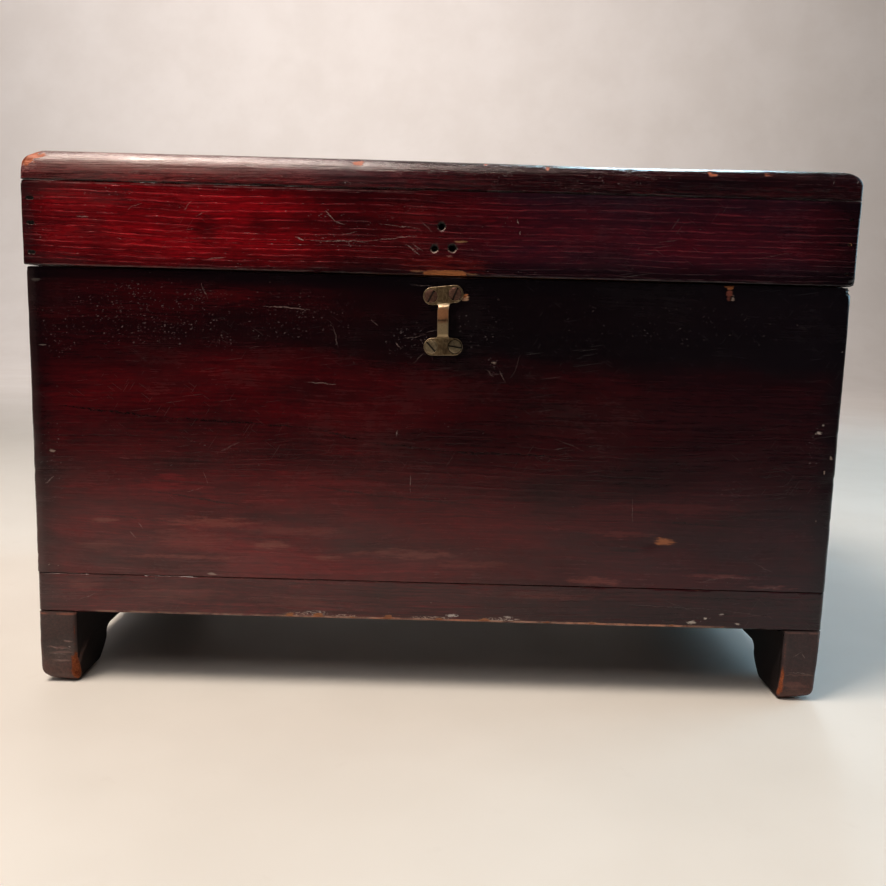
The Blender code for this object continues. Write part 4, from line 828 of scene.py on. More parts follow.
def mat_keeper(name, kx, kz):
    """Old brass strip: dark, greenish plates whose rims are lighter, partly rubbed and partly a painted rim highlight;
    on the strap, a painted highlight at the upper bend, a painted coppery reflection above the middle, a painted shade
    band across the middle and greyer brass below it.
    """
    t = Tree(name)
    p = t.vec(t.x, t.y, t.z)
    edge = t.attr("edge")
    film, fine = t.noise(p, 0.6, 5.0, 0.65), t.noise(p, 3.4, 4.0, 0.6)
    brush = t.noise(t.vec(t.mul(t.x, 2.4), t.mul(t.y, 2.4), t.mul(t.z, 0.3)), 1.0, 3.0, 0.6)
    c = t.mix(t.step(film, 0.36, 0.66), (0.110, 0.070, 0.036), (0.200, 0.142, 0.076))
    up = t.add(t.m("SUBTRACT", t.z, kz), t.mul(t.m("SUBTRACT", film, 0.5), 3.0))
    strap = t.mul(t.step(t.m("ABSOLUTE", t.m("SUBTRACT", t.x, kx)), 2.9, 3.5, 1.0, 0.0), t.step(t.m("ABSOLUTE", up), 8.2, 9.4, 1.0, 0.0))
    # the strap's colour is painted light: coppery reflection above the middle, greyer below, a dark shade band across
    # the middle, a bright highlight at the upper bend
    worn = t.mix(t.step(up, -1.6, 0.2), (0.35, 0.265, 0.155), (0.50, 0.235, 0.115))
    worn = t.mix(t.gauss(up, 0.3, 1.1), worn, (0.085, 0.045, 0.026))
    worn = t.mix(t.step(up, 5.0, 7.5), worn, (0.46, 0.385, 0.26))
    c = t.mix(strap, c, worn)
    c = t.mix(t.mul(t.step(fine, 0.50, 0.72), 0.5), c, (0.075, 0.052, 0.034))
    c = t.mix(t.mul(t.step(brush, 0.50, 0.72), 0.35), c, (0.42, 0.33, 0.21))
    # lighter rims: rubbed brass and a painted rim highlight
    c = t.mix(t.mul(edge, t.step(film, 0.30, 0.55), 0.75), c, (0.62, 0.50, 0.34))
    return t.out(Base_Color=c, Metallic=0.9, Roughness=t.add(0.34, t.mul(film, 0.20), t.mul(fine, 0.14), t.mul(edge, -0.08)),
                 Normal=t.bump(t.add(t.mul(film, 0.4), t.mul(fine, 0.6), t.mul(brush, 0.5)), 0.07, 0.8))


def mat_screw(name, seed, dull, light):
    """A screw head: fine turning marks and a brown film."""
    t = Tree(name)
    p = t.vec(t.add(t.x, seed), t.y, t.z)
    film, fine = t.noise(p, 0.9, 4.0, 0.65), t.noise(p, 4.2, 4.0, 0.6)
    c = t.mix(t.step(film, 0.34, 0.66), dull, light)
    c = t.mix(t.mul(t.step(fine, 0.52, 0.72), 0.6), c, tuple(0.35 * v for v in dull))
    return t.out(Base_Color=c, Metallic=0.85, Roughness=t.add(0.36, t.mul(film, 0.22), t.mul(fine, 0.14)), Normal=t.bump(t.add(film, fine), 0.07, 0.8))


def mat_grime(name):
    """Dirt and old polish packed in a slot."""
    t = Tree(name)
    p = t.vec(t.x, t.y, t.z)
    f = t.noise(p, 2.5, 4.0, 0.6)
    return t.out(Base_Color=t.mix(t.step(f, 0.35, 0.7), (0.010, 0.007, 0.006), (0.030, 0.020, 0.015)), Roughness=t.step(f, 0.3, 0.7, 0.75, 0.9), Normal=t.bump(f, 0.1, 0.8))


def mat_lip(name):
    """Crushed lacquer and wood on the lip of a hole, pale where it is broken; given only to rim faces turned upwards,
    as a painted highlight.
    """
    t = Tree(name)
    p = t.vec(t.x, t.y, t.z)
    f, g = t.noise(p, 1.1, 4.0, 0.65), t.noise(p, 3.6, 3.0, 0.6)
    c = t.mix(t.step(f, 0.42, 0.60), (0.055, 0.022, 0.022), (0.34, 0.24, 0.20))
    c = t.mix(t.mul(t.step(g, 0.5, 0.72), 0.6), c, (0.10, 0.045, 0.035))
    return t.out(Base_Color=c, Roughness=t.step(g, 0.3, 0.7, 0.42, 0.62), Normal=t.bump(t.add(f, g), 0.10, 0.8))


MAT_LIP_AND_HIGHLIGHT = mat_lip("broken_lip_and_painted_highlight")
MAT_KEEPER = mat_keeper("aged_brass_keeper", 2.4, RIM - 21.3)
MAT_SCREW = mat_screw("brass_screws", 8.0, (0.15, 0.115, 0.07), (0.27, 0.215, 0.135))
MAT_SCREW_DARK = mat_screw("browned_screws", 5.0, (0.098, 0.048, 0.036), (0.165, 0.088, 0.062))
MAT_GRIME = mat_grime("slot_dirt")
MAT_HINGE = mat_brass("aged_brass_hinges", 14.0, 0.5)
MAT_IRON = mat_iron("dark_iron")


def mat_filler(name):
    """Punched nail heads, closed with old filler and dark polish; in the lid's holes also painted shade, inside the
    empty screw holes and on rim faces not turned upwards.
    """
    t = Tree(name)
    p = t.vec(t.x, t.y, t.z)
    f, g = t.noise(p, 1.6, 4.0, 0.65), t.noise(p, 5.0, 3.0, 0.6)
    c = t.mix(t.step(f, 0.38, 0.64), (0.0030, 0.0020, 0.0020), (0.0090, 0.0050, 0.0045))
    return t.out(Base_Color=c, Roughness=t.step(g, 0.3, 0.7, 0.72, 0.9), Normal=t.bump(t.add(f, g), 0.10, 0.8))


MAT_FILLER = mat_filler("filled_nail_heads")


# ---------------------------------------------------------------------------
# boards
# ---------------------------------------------------------------------------
def plan(a, b, t):
    return a, b, t


def wide_outline(x0, x1, outer, inward, step, r):
    """Plan of a front or back board with rabbeted ends, counter-clockwise."""
    s0, s1 = x0 + WALL + FIT, x1 - WALL - FIT
    q = lambda d: outer + inward * d
    pts = [(x0, q(0)), (x1, q(0)), (x1, q(LIP)), (s1, q(LIP)), (s1, q(WALL)), (s0, q(WALL)), (s0, q(LIP)), (x0, q(LIP))]
    rad = [r, r, 0.25, 0.0, 0.25, 0.25, 0.0, 0.25]
    if inward < 0:
        pts, rad = pts[::-1], rad[::-1]
    return rounded_outline(pts, rad, step)


def wide_board(node, material, body, inward, step=3.0, corner=1.9, r0=0.7, r1=0.7, shape=None, seed=0.0, rise=3.0, fine=(), **kw):
    x0, x1, y0, y1, z0, z1 = span(node)
    outer = y0 if inward > 0 else y1
    outline = wide_outline(x0, x1, outer, inward, step, corner)
    near = [z0 + d for d in (1.2, 1.9, 2.8, 4.0)] + [z1 - d for d in (1.2, 1.9, 2.8, 4.0)]
    inner = lambda x, y, z, nx, ny, nz: 1.0 if (y - outer) * inward > WALL - 0.9 else 0.0
    pc = loft(node + "_visual", outline, levels(z0, z1, r0, r1, rise, near + list(fine)), plan, inner, shape, seed, **kw)
    return pc.build(material, body, [node], "lacquered_wood")


def side_board(node, material, body, sign, step=4.0, r0=0.7, r1=0.7, seed=0.0, rise=4.0, shape=None):
    x0, x1, y0, y1, z0, z1 = span(node)
    pts = [(x0, y0), (x1, y0), (x1, y1), (x0, y1)]
    outline = rounded_outline(pts, [0.35] * 4, step)
    inner_face = x1 if sign < 0 else x0
    inner = lambda x, y, z, nx, ny, nz: 1.0 if abs(x - inner_face) < 0.9 else 0.0
    near = [z0 + 1.5, z0 + 2.6, z1 - 1.5, z1 - 2.6]
    pc = loft(node + "_visual", outline, levels(z0, z1, r0, r1, rise, near), plan, inner, shape, seed)
    return pc.build(material, body, [node], "lacquered_wood")


WORN = (-7.1, 12.6, 2.5, 1.5)      # the worn bevel under the lid's empty screw holes: x from, to, height, depth


def lid_front_shape(x, y, z, nx, ny, nz):
    x, y, z, bare = lid_front_chips(x, y, z, nx, ny, nz)
    x0, x1, h, d = WORN
    side = smooth(x, x0 - 1.2, x0 + 3.0) * (1 - smooth(x, x1 - 3.0, x1 + 1.2))
    rub = smooth(x, x0 - 3.0, x0 + 2.5) * (1 - smooth(x, x1 - 2.5, x1 + 3.0))
    if rub > 0 and y < LYF + 4:
        t = (z - LZ0) / (h * (1 + 0.18 * n1(x / 4, 0, 0, 3) + 0.12 * n1(x / 1.5, 0, 0, 4)))
        if t < 1:
            y = max(y, LYF + d * (1 - t) * side)
        bare = max(bare, rub * (1 - smooth(t, 0.62, 1.22)))
    return x, y, z, bare


lid_front_chips = dents([
    (LX1 - 1.5, LYF + 0.5, LZ0 + 0.4, 3.0, 1.1, 0.25),
    (-60.0, LYF, LZ0, 3.5, 0.5, 0.2), (-93.0, LYF, LZ0, 2.4, 0.35, 0.1), (72.0, LYF, LZ0, 2.2, 0.3, 0.15),
    (LX0 + 0.5, LYF + 0.5, LZ1, 2.2, 0.5, 0.2),
])
lid_front = wide_board("lid_front_rail", MAT_LID_FRONT, "lid", 1, step=2.2, seed=1.0, rise=2.6, r0=0.4, r1=0.22, shape=lid_front_shape, fine=(LZ0 + 2.3, LZ0 + 2.6, LZ0 + 3.1))

body_chips = dents([
    (142.0, YF, RIM - 0.5, 3.4, 0.9, 0.9), (FX1 - 0.8, YF + 0.6, RIM - 0.6, 4.0, 1.5, 0.35), (FX0 + 0.6, YF + 0.5, RIM - 0.4, 1.8, 0.4, 0.1),
    (111.0, YF, RIM - 130.0, 4.0, 0.35, 0.0), (12.5, YF, RIM - 9.6, 2.4, 0.5, 0.8),
    (FX0 + 0.6, YF + 0.6, RIM - 88.0, 2.2, 0.25, 0.25), (FX0 + 0.6, YF + 0.6, RIM - 101.0, 2.0, 0.25, 0.25), (FX0 + 0.6, YF + 0.6, RIM - 146.0, 2.2, 0.3, 0.3),
    (FX1 - 0.6, YF + 0.6, RIM - 74.0, 2.2, 0.3, 0.3), (FX1 - 0.6, YF + 0.6, RIM - 96.0, 2.4, 0.3, 0.3), (FX1 - 0.6, YF + 0.6, RIM - 118.0, 2.0, 0.25, 0.2),
] + [(s * (FX1 - WALL / 2), YF, PZ0 + h, 1.9, 0.45, 0.0) for s in (-1, 1) for h in (14.0, 55.0, 98.0, 140.0)])
front = wide_board("front_panel", MAT_BODY_FRONT, "chest", 1, step=2.6, seed=4.0, rise=2.8, r0=0.25, r1=0.6, shape=body_chips)

base_chips = dents([(x, YF, BZ0, r, d, b) for x, r, d, b in (
    (-72, 3.2, 0.6, 0.9), (-58, 4.5, 0.7, 0.9), (-40, 3.0, 0.5, 0.8), (-22, 3.6, 0.6, 0.9), (4, 3.0, 0.5, 0.8), (28, 4.2, 0.6, 0.9), (60, 2.8, 0.5, 0.8), (83, 3.2, 0.5, 0.8), (124, 2.4, 0.6, 0.9),
    (-140, 2.2, 0.4, 0.6), (150, 2.6, 0.5, 0.7))])
base_front = wide_board("base_rail_front", MAT_BASE_FRONT, "chest", 1, step=2.2, corner=2.6, seed=7.0, rise=2.4, shape=base_chips, r0=0.6, r1=0.25)

wide_board("back_panel", MAT_BACK, "chest", -1, step=4.0, seed=9.0, rise=4.0)
wide_board("base_rail_back", MAT_BASE_BACK, "chest", -1, step=4.0, seed=11.0, rise=4.0, r0=0.9)
wide_board("lid_back_rail", MAT_LID_BACK, "lid", -1, step=4.0, seed=13.0, rise=4.0)
for side, sign in (("left", -1), ("right", 1)):
    side_board(f"{side}_side_panel", MAT_SIDE, "chest", sign, seed=15.0 + sign)
    side_board(f"base_rail_{side}", MAT_BASE_SIDE, "chest", sign, seed=18.0 + sign, r0=0.9)
    side_board(f"lid_{side}_rail", MAT_LID_SIDE, "lid", sign, seed=21.0 + sign)

# bottom board, inside
bx0, bx1, by0, by1, bz0, bz1 = span("bottom_board")
pc = loft("bottom_board_visual", rounded_outline([(bx0, by0), (bx1, by0), (bx1, by1), (bx0, by1)], [0.4] * 4, 6.0), levels(bz0, bz1, 0.4, 0.4, 4.0), plan, None, None, 24.0)
pc.build(MAT_BOTTOM, "chest", ["bottom_board"], "bare_wood")


# ---------------------------------------------------------------------------
# lid top board: flat top, rounded upper edge, worn corners
# ---------------------------------------------------------------------------
def cuts(a, b, step, fine):
    near = [a + d for d in fine] + [b - d for d in fine]
    inner0, inner1 = a + max(fine), b - max(fine)
    k = max(1, int(round((inner1 - inner0) / step)))
    mids = [inner0 + (inner1 - inner0) * j / k for j in range(1, k)]
    return sorted(set([a, b] + near + mids))


def top_board():
    x0, x1, y0, y1, z0, z1 = span("lid_top_board")
    R, RV, RB = 8.0, 1.9, 0.15
    fine = (0.35, 0.8, 1.4, 2.2, 3.2, 4.4, 5.8, 7.2, 8.6, 11.0)
    xs, ys = cuts(x0, x1, 3.0, fine), cuts(y0, y1, 5.0, fine)
    zs = sorted({z0, z0 + 0.10, z0 + 0.6, z0 + 1.2, z0 + 2.4, z0 + 4.4, z0 + 6.6, z1 - 7.0, z1 - 6.0, z1 - 5.0, z1 - 4.0, z1 - 3.0, z1 - 2.2, z1 - 1.4, z1 - 0.7, z1 - 0.25, z1})
    cx, cy = (x0 + x1) / 2, (y0 + y1) / 2
    hx, hy = (x1 - x0) / 2, (y1 - y0) / 2
    chips = dents([
        (x0 + 3.0, y0 + 3.0, z1 - 3.6, 8.6, 1.0, 0.95), (x0 + 11.0, y0 + 2.4, z1 - 2.6, 3.6, 0.3, 0.62),
        (-40.0, y0 + 2.4, z1 - 2.9, 4.2, 0.4, 0.72), (-58.0, y0 + 2.4, z1 - 2.0, 2.4, 0.3, 0.4), (21.0, y0 + 4.4, z1 - 1.2, 2.6, 0.4, 0.7), (51.0, y0 + 2.2, z1 - 3.0, 3.4, 0.5, 0.66),
        (89.0, y0 + 2.8, z1 - 2.4, 2.2, 0.4, 0.4), (130.0, y0 + 2.0, z1 - 3.6, 3.4, 0.4, 0.64), (157.0, y0 + 2.2, z1 - 3.2, 3.4, 0.35, 0.48), (190.0, y0 + 3.0, z1 - 5.0, 4.0, 0.4, 0.3),
        (x1 - 3.0, y1 - 3.0, z1 - 4.0, 6.0, 1.4, 0.9), (x0 + 3.0, y1 - 3.0, z1 - 4.0, 5.0, 1.0, 0.8), (x1 - 3.0, 30.0, z1 - 3.0, 4.0, 0.5, 0.8), (x0 + 3.0, -40.0, z1 - 3.0, 4.5, 0.5, 0.8),
        (x0 + 2.6, 66.0, z1 - 3.0, 3.2, 0.4, 0.7), (70.0, y1 - 3.0, z1 - 3.0, 4.0, 0.5, 0.8), (-96.0, y1 - 3.0, z1 - 3.0, 3.4, 0.4, 0.7),
    ])
    pc = Piece("lid_top_board_visual")
    index = {}
    nx_, ny_, nz_ = len(xs), len(ys), len(zs)

    def vert(i, j, k):
        key = (i, j, k)
        if key in index:
            return index[key]
        x, y, z = xs[i] - cx, ys[j] - cy, zs[k]
        sx, sy = (1 if x > 0 else -1), (1 if y > 0 else -1)
        # upper edge: a quarter round, mitred at the corners
        ex, ey = max(0.0, abs(x) - (hx - R)) / R, max(0.0, abs(y) - (hy - R)) / R
        e, ez = max(ex, ey), max(0.0, z - (z1 - R)) / R
        nrm = Vector((0, 0, 0))
        weight = 0.0
        if e > 0 and ez > 0 and (e > 0.9999 or ez > 0.9999):
            n = math.hypot(e, ez)
            e2, ez2 = e / n, ez / n
            z = z1 - R + R * ez2
            f = e2 / e
            x = sx * (hx - R + R * ex * f) if ex > 0 else x
            y = sy * (hy - R + R * ey * f) if ey > 0 else y
            nrm = Vector((sx * e2 if ex >= ey else 0, sy * e2 if ey >= ex else 0, ez2))
            weight = min(e2, ez2) * 1.15
        else:
            if k == nz_ - 1:
                nrm += Vector((0, 0, 1))
            if k == 0:
                nrm += Vector((0, 0, -1))
            if i in (0, nx_ - 1):
                nrm += Vector((sx, 0, 0))
            if j in (0, ny_ - 1):
                nrm += Vector((0, sy, 0))
        # lower edge: a small easing
        if ez == 0:
            db = z - z0
            if db < RB and (i in (0, nx_ - 1) or j in (0, ny_ - 1) or e > 1 - RB / R):
                o = max(0.0, e * R - (R - RB)) / RB
                q = max(0.0, RB - db) / RB
                n = math.hypot(o, q)
                if n > 0 and max(o, q) > 0.999:
                    o2, q2 = o / n, q / n
                    z = z0 + RB - RB * q2
                    shrink = RB * (1 - o2) if o > 0 else 0.0
                    if ex * R > R - RB:
                        x = sx * (abs(x) - (shrink if i in (0, nx_ - 1) else 0.0))
                    if ey * R > R - RB:
                        y = sy * (abs(y) - (shrink if j in (0, ny_ - 1) else 0.0))
                    weight = max(weight, min(o2, q2) * 1.1)
        # upright corners
        inset = max(0.0, R - math.sqrt(max(0.0, R * R - max(0.0, z - (z1 - R)) ** 2)))
        ox, oy = abs(x) - (hx - inset - RV), abs(y) - (hy - inset - RV)
        if ox > 0 and oy > 0:
            big = max(ox, oy)
            n = math.hypot(ox, oy)
            f = big / n
            x, y = sx * (hx - inset - RV + ox * f), sy * (hy - inset - RV + oy * f)
            weight = max(weight, 0.8)
        x, y = x + cx, y + cy
        if nrm.length > 0:
            nrm.normalize()
        wear = weight * 0.5 * max(0.0, 0.3 + n1(x / 24, y / 24, z / 24, 5.0) + 0.5 * n1(x / 6, y / 6, z / 6, 6.0))
        p = Vector((x, y, z)) - nrm * wear
        # the board has moved a little with age: a slight dip along its length, and dents in its top
        if k == nz_ - 1 or ez > 0:
            up = smooth(z, z1 - 8.0, z1)
            p.z += up * (-0.75 * math.exp(-((x - 85.0) / 75.0) ** 2) + 0.12 * n1(x / 60, y / 60, 0, 8.0) - 0.25)
        q = chips(p.x, p.y, p.z, *(nrm if nrm.length else Vector((0, 0, 1))))
        index[key] = pc.add(q[:3], weight, q[3], 1.0 if k == 0 and abs(x - cx) < hx - WALL and abs(y - cy) < hy - WALL else 0.0)
        return index[key]

    for i in range(nx_ - 1):
        for j in range(ny_ - 1):
            pc.faces.append((vert(i, j, 0), vert(i, j + 1, 0), vert(i + 1, j + 1, 0), vert(i + 1, j, 0)))
            pc.faces.append((vert(i, j, nz_ - 1), vert(i + 1, j, nz_ - 1), vert(i + 1, j + 1, nz_ - 1), vert(i, j + 1, nz_ - 1)))
    for i in range(nx_ - 1):
        for k in range(nz_ - 1):
            pc.faces.append((vert(i, 0, k), vert(i + 1, 0, k), vert(i + 1, 0, k + 1), vert(i, 0, k + 1)))
            pc.faces.append((vert(i, ny_ - 1, k), vert(i, ny_ - 1, k + 1), vert(i + 1, ny_ - 1, k + 1), vert(i + 1, ny_ - 1, k)))
    for j in range(ny_ - 1):
        for k in range(nz_ - 1):
            pc.faces.append((vert(0, j, k), vert(0, j, k + 1), vert(0, j + 1, k + 1), vert(0, j + 1, k)))
            pc.faces.append((vert(nx_ - 1, j, k), vert(nx_ - 1, j + 1, k), vert(nx_ - 1, j + 1, k + 1), vert(nx_ - 1, j, k + 1)))
    return pc.build(MAT_TOP, "lid", ["lid_top_board"], "lacquered_wood", 45)


top_board()


# ---------------------------------------------------------------------------
# runners
# ---------------------------------------------------------------------------
def runner_outline(step):
    half = (RY1 - RY0) / 2
    pad, arch, swell = 28.5, 15.5, 14.5
    front = [(-half, RZ1)]
    for k in range(8):
        a = math.radians(90 * k / 7)
        front.append((-half + 6.0 * (1 - math.cos(a)), 6.5 * (1 - math.sin(a))))
    n = 14
    for i in range(n + 1):
        t = i / n
        front.append((-half + pad + swell * math.sin(t * math.pi / 2) ** 1.15, arch * 0.80 * t))
    e = front[-1][0]
    for i in range(1, 6):
        a = math.radians(90 * i / 5)
        front.append((e + 5.0 * (1 - math.cos(a)) + 0.3 * i, arch * (0.80 + 0.20 * math.sin(a))))
    back = [(-y, z) for y, z in reversed(front)]
    pts = [(y + (RY0 + RY1) / 2, z) for y, z in front + back]
    pts = pts[::-1] if sum(a[0] * b[1] - b[0] * a[1] for a, b in zip(pts, pts[1:] + pts[:1])) < 0 else pts
    return rounded_outline(pts, [0.0] * len(pts), step)


for side, sign in (("left", -1), ("right", 1)):
    x0, x1, y0, y1, z0, z1 = span(f"{side}_runner")
    r_out, r_in = 2.4, 1.4
    mid = (x0 + x1) / 2
    inner_x = x1 if sign < 0 else x0
    ra, rb = (r_out, r_in) if sign < 0 else (r_in, r_out)
    st = [(x0, ra + 2.2, 0.0, -1.0)] + levels(x0, x1, ra, rb, 1.8) + [(x1, rb + 2.2, 0.0, 1.0)]
    pc = loft(f"{side}_runner_visual", runner_outline(2.2), st, lambda a, b, t: (t, a, b), None, None, 30.0 + sign, edge_wear=0.5, face_wave=0.10)
    ro, taper = (11.0, 0.2) if sign < 0 else (8.0, 1.6)
    for i, (x, y, z) in enumerate(pc.co):
        a, b, bare = abs(x - (x0 + x1 - inner_x)), abs(x - inner_x), 0.0
        under = min(y - y0, y1 - y) > 29.0 and z < 16.2
        a += taper * (1 - z / z1) * b / (x1 - x0)               # the outside is worn towards the floor
        b = x1 - x0 - a
        for r, d, far in ((ro, a, False), (3.2, b, True)):      # the soles are worn round, outside most
            if d < r and z < r:
                n = math.hypot(r - d, r - z)
                if n > r:
                    d, z = r - (r - d) * r / n, r - (r - z) * r / n
                if far:
                    b = d
                else:
                    a = d
        z += (0.9 if sign < 0 else 2.0) * max(0.0, 1 - a / (x1 - x0)) ** 1.4 * (1 - smooth(z, 0.0, 12.0))
        if a < b:
            x = x0 + x1 - inner_x + (a if sign < 0 else -a)
        else:
            x = inner_x + (b if sign > 0 else -b)
        if z > z1 - 2.6:                                        # crisp where it meets the box
            z = z1 - 0.2 * (z1 - z)
        x -= (1 if sign > 0 else -1) * (1.6 if sign > 0 else 0.9) * (1 - smooth(z, 0.0, 17.0)) * (1 - smooth(b, 0.0, 9.0))
        inner_at = inner_x - (1 if sign > 0 else -1) * (1.6 if sign > 0 else 0.9) * (1 - smooth(z, 0.0, 17.0))
        # inside marks the arch's underside and the inner faces, which the runner's material paints dark as shade
        inside, rubbed_off = (1.0 if under else 0.0), 0.0
        for end, inward in ((y0, 1), (y1, -1)):                 # the inner corners are rubbed off, deeper towards the floor
            low = 1 - smooth(z, 6.0, (20.0 if sign < 0 else 26.0) + 3 * n1(z / 9, end, sign, 2.0))
            rough_ = 1 + 0.25 * n1(z / 3.5, end, sign, 5.0)
            across, deep = (0.5 + (2.3 if sign < 0 else 0.9) * low) * rough_, (0.6 + (3.6 if sign < 0 else 1.7) * low) * rough_
            d, b = (y - end) * inward, abs(x - inner_at)
            gone = 1 - (max(0.0, d) / deep + b / across)
            if gone > 0:
                x += (1 if sign > 0 else -1) * across * gone * 0.62
                y += inward * deep * gone * 0.30
            raw_ = (1 - smooth(max(0.0, d) / deep + b / across, 0.85, 1.35)) * smooth(low, 0.06, 0.30)
            bare = max(bare, (0.95 if sign < 0 else 0.66) * raw_ * smooth(z, 0.3, 2.5))
            rubbed_off = max(rubbed_off, raw_)
            if z < 4 and d < 6:
                bare = max(bare, 0.40 * (1 - smooth(z, 0.5, 4.0)))
        if abs(x - inner_at) < 1.5:
            inside = max(inside, smooth(min(y - y0, y1 - y), 1.2, 2.8) * (1 - rubbed_off))
        pc.co[i] = (x, y, min(max(z, 0.0), z1))
        pc.attrs["bare"][i] = bare * (1 - inside)
        pc.attrs["inner"][i] = inside
    pc.build(MAT_RUNNER, "chest", [f"{side}_runner"], "lacquered_wood", 50)


# ---------------------------------------------------------------------------
# holes in the lid's front: three empty screw holes and the punched nails
# ---------------------------------------------------------------------------
def ragged_hole(r, seed, depth=7.0, lip=0.75, flat=0.0):
    """A hole with a crushed, ragged lip; flat makes it wider than high."""
    return turned([(0, 1.5), (r + lip + 0.9, 1.5), (r + lip, 0.08), (r + 0.42 * lip, -0.26), (r, -0.75), (r * 0.90, -2.0 if depth > 3 else -1.1), (r * 0.7, -depth), (0, -depth)], 32,
                  lambda a, z: flat * math.cos(2 * a) + 0.10 * n1(math.cos(a) * 1.3, math.sin(a) * 1.3, z * 0.2, seed) + 0.09 * n1(math.cos(a) * 3, math.sin(a) * 3, 0, seed))


holes, spots = [], []
for x, h, r, s in ((0.5, 23.2, 1.6, 1.0), (-2.7, 12.6, 1.5, 2.0), (6.0, 13.0, 1.75, 3.0)):
    holes.append(placed(ragged_hole(r, s), (x, LYF, LZ0 + h), OUT_FRONT))
    spots.append((x, LZ0 + h, r + 1.3))
for sign in (-1, 1):
    for h in (5.8, 19.8, 31.5):
        holes.append(placed(ragged_hole(1.05 if sign < 0 else 0.8, h + sign, 1.6, 0.40 if sign < 0 else 0.2, 0.42 if sign < 0 else 0.30), (sign * (LX1 - WALL / 2), LYF, LZ0 + h), OUT_FRONT))
        spots.append((sign * (LX1 - WALL / 2), LZ0 + h, 2.4))
cut(lid_front, holes)
lid_front.data.shade_smooth()
lid_front.data.set_sharp_from_angle(angle=math.radians(40))
lid_front.data.materials.append(MAT_LIP_AND_HIGHLIGHT)
lid_front.data.materials.append(MAT_FILLER)
# rim faces turned upwards (on the left nails, upwards and not leftwards) take the pale lip as a painted highlight
# crescent; the other rim faces and the holes' insides take the dark filler, painted shade in the empty screw holes
for f in lid_front.data.polygons:
    c = f.center / MM
    if f.normal.y > -0.93 and LYF + 0.03 < c.y < LYF + 8.0 and c.x < 100.0:
        for x, z, r in spots:
            if math.hypot(c.x - x, c.z - z) < r:
                f.material_index = 1 if c.y < LYF + 0.8 and (f.normal.z > 0.12 if x > -100.0 else f.normal.z > 0.45 and f.normal.x > -0.35) else 2


# ---------------------------------------------------------------------------
# keeper: one strip of brass, two plates and a bridge
# ---------------------------------------------------------------------------
KX, KZ = 2.4, RIM - 21.3
KTURN = Matrix.Rotation(-math.radians(1.2), 4, "Y")
PLATE_TURN = {1: math.radians(5.8), -1: math.radians(0.2)}     # the upper plate is cut crooked
APART, PW, PH, PT = 25.1, 20.0, 8.6, 1.3
SW, CLEAR, SEAT = 5.3, 4.5, 0.2


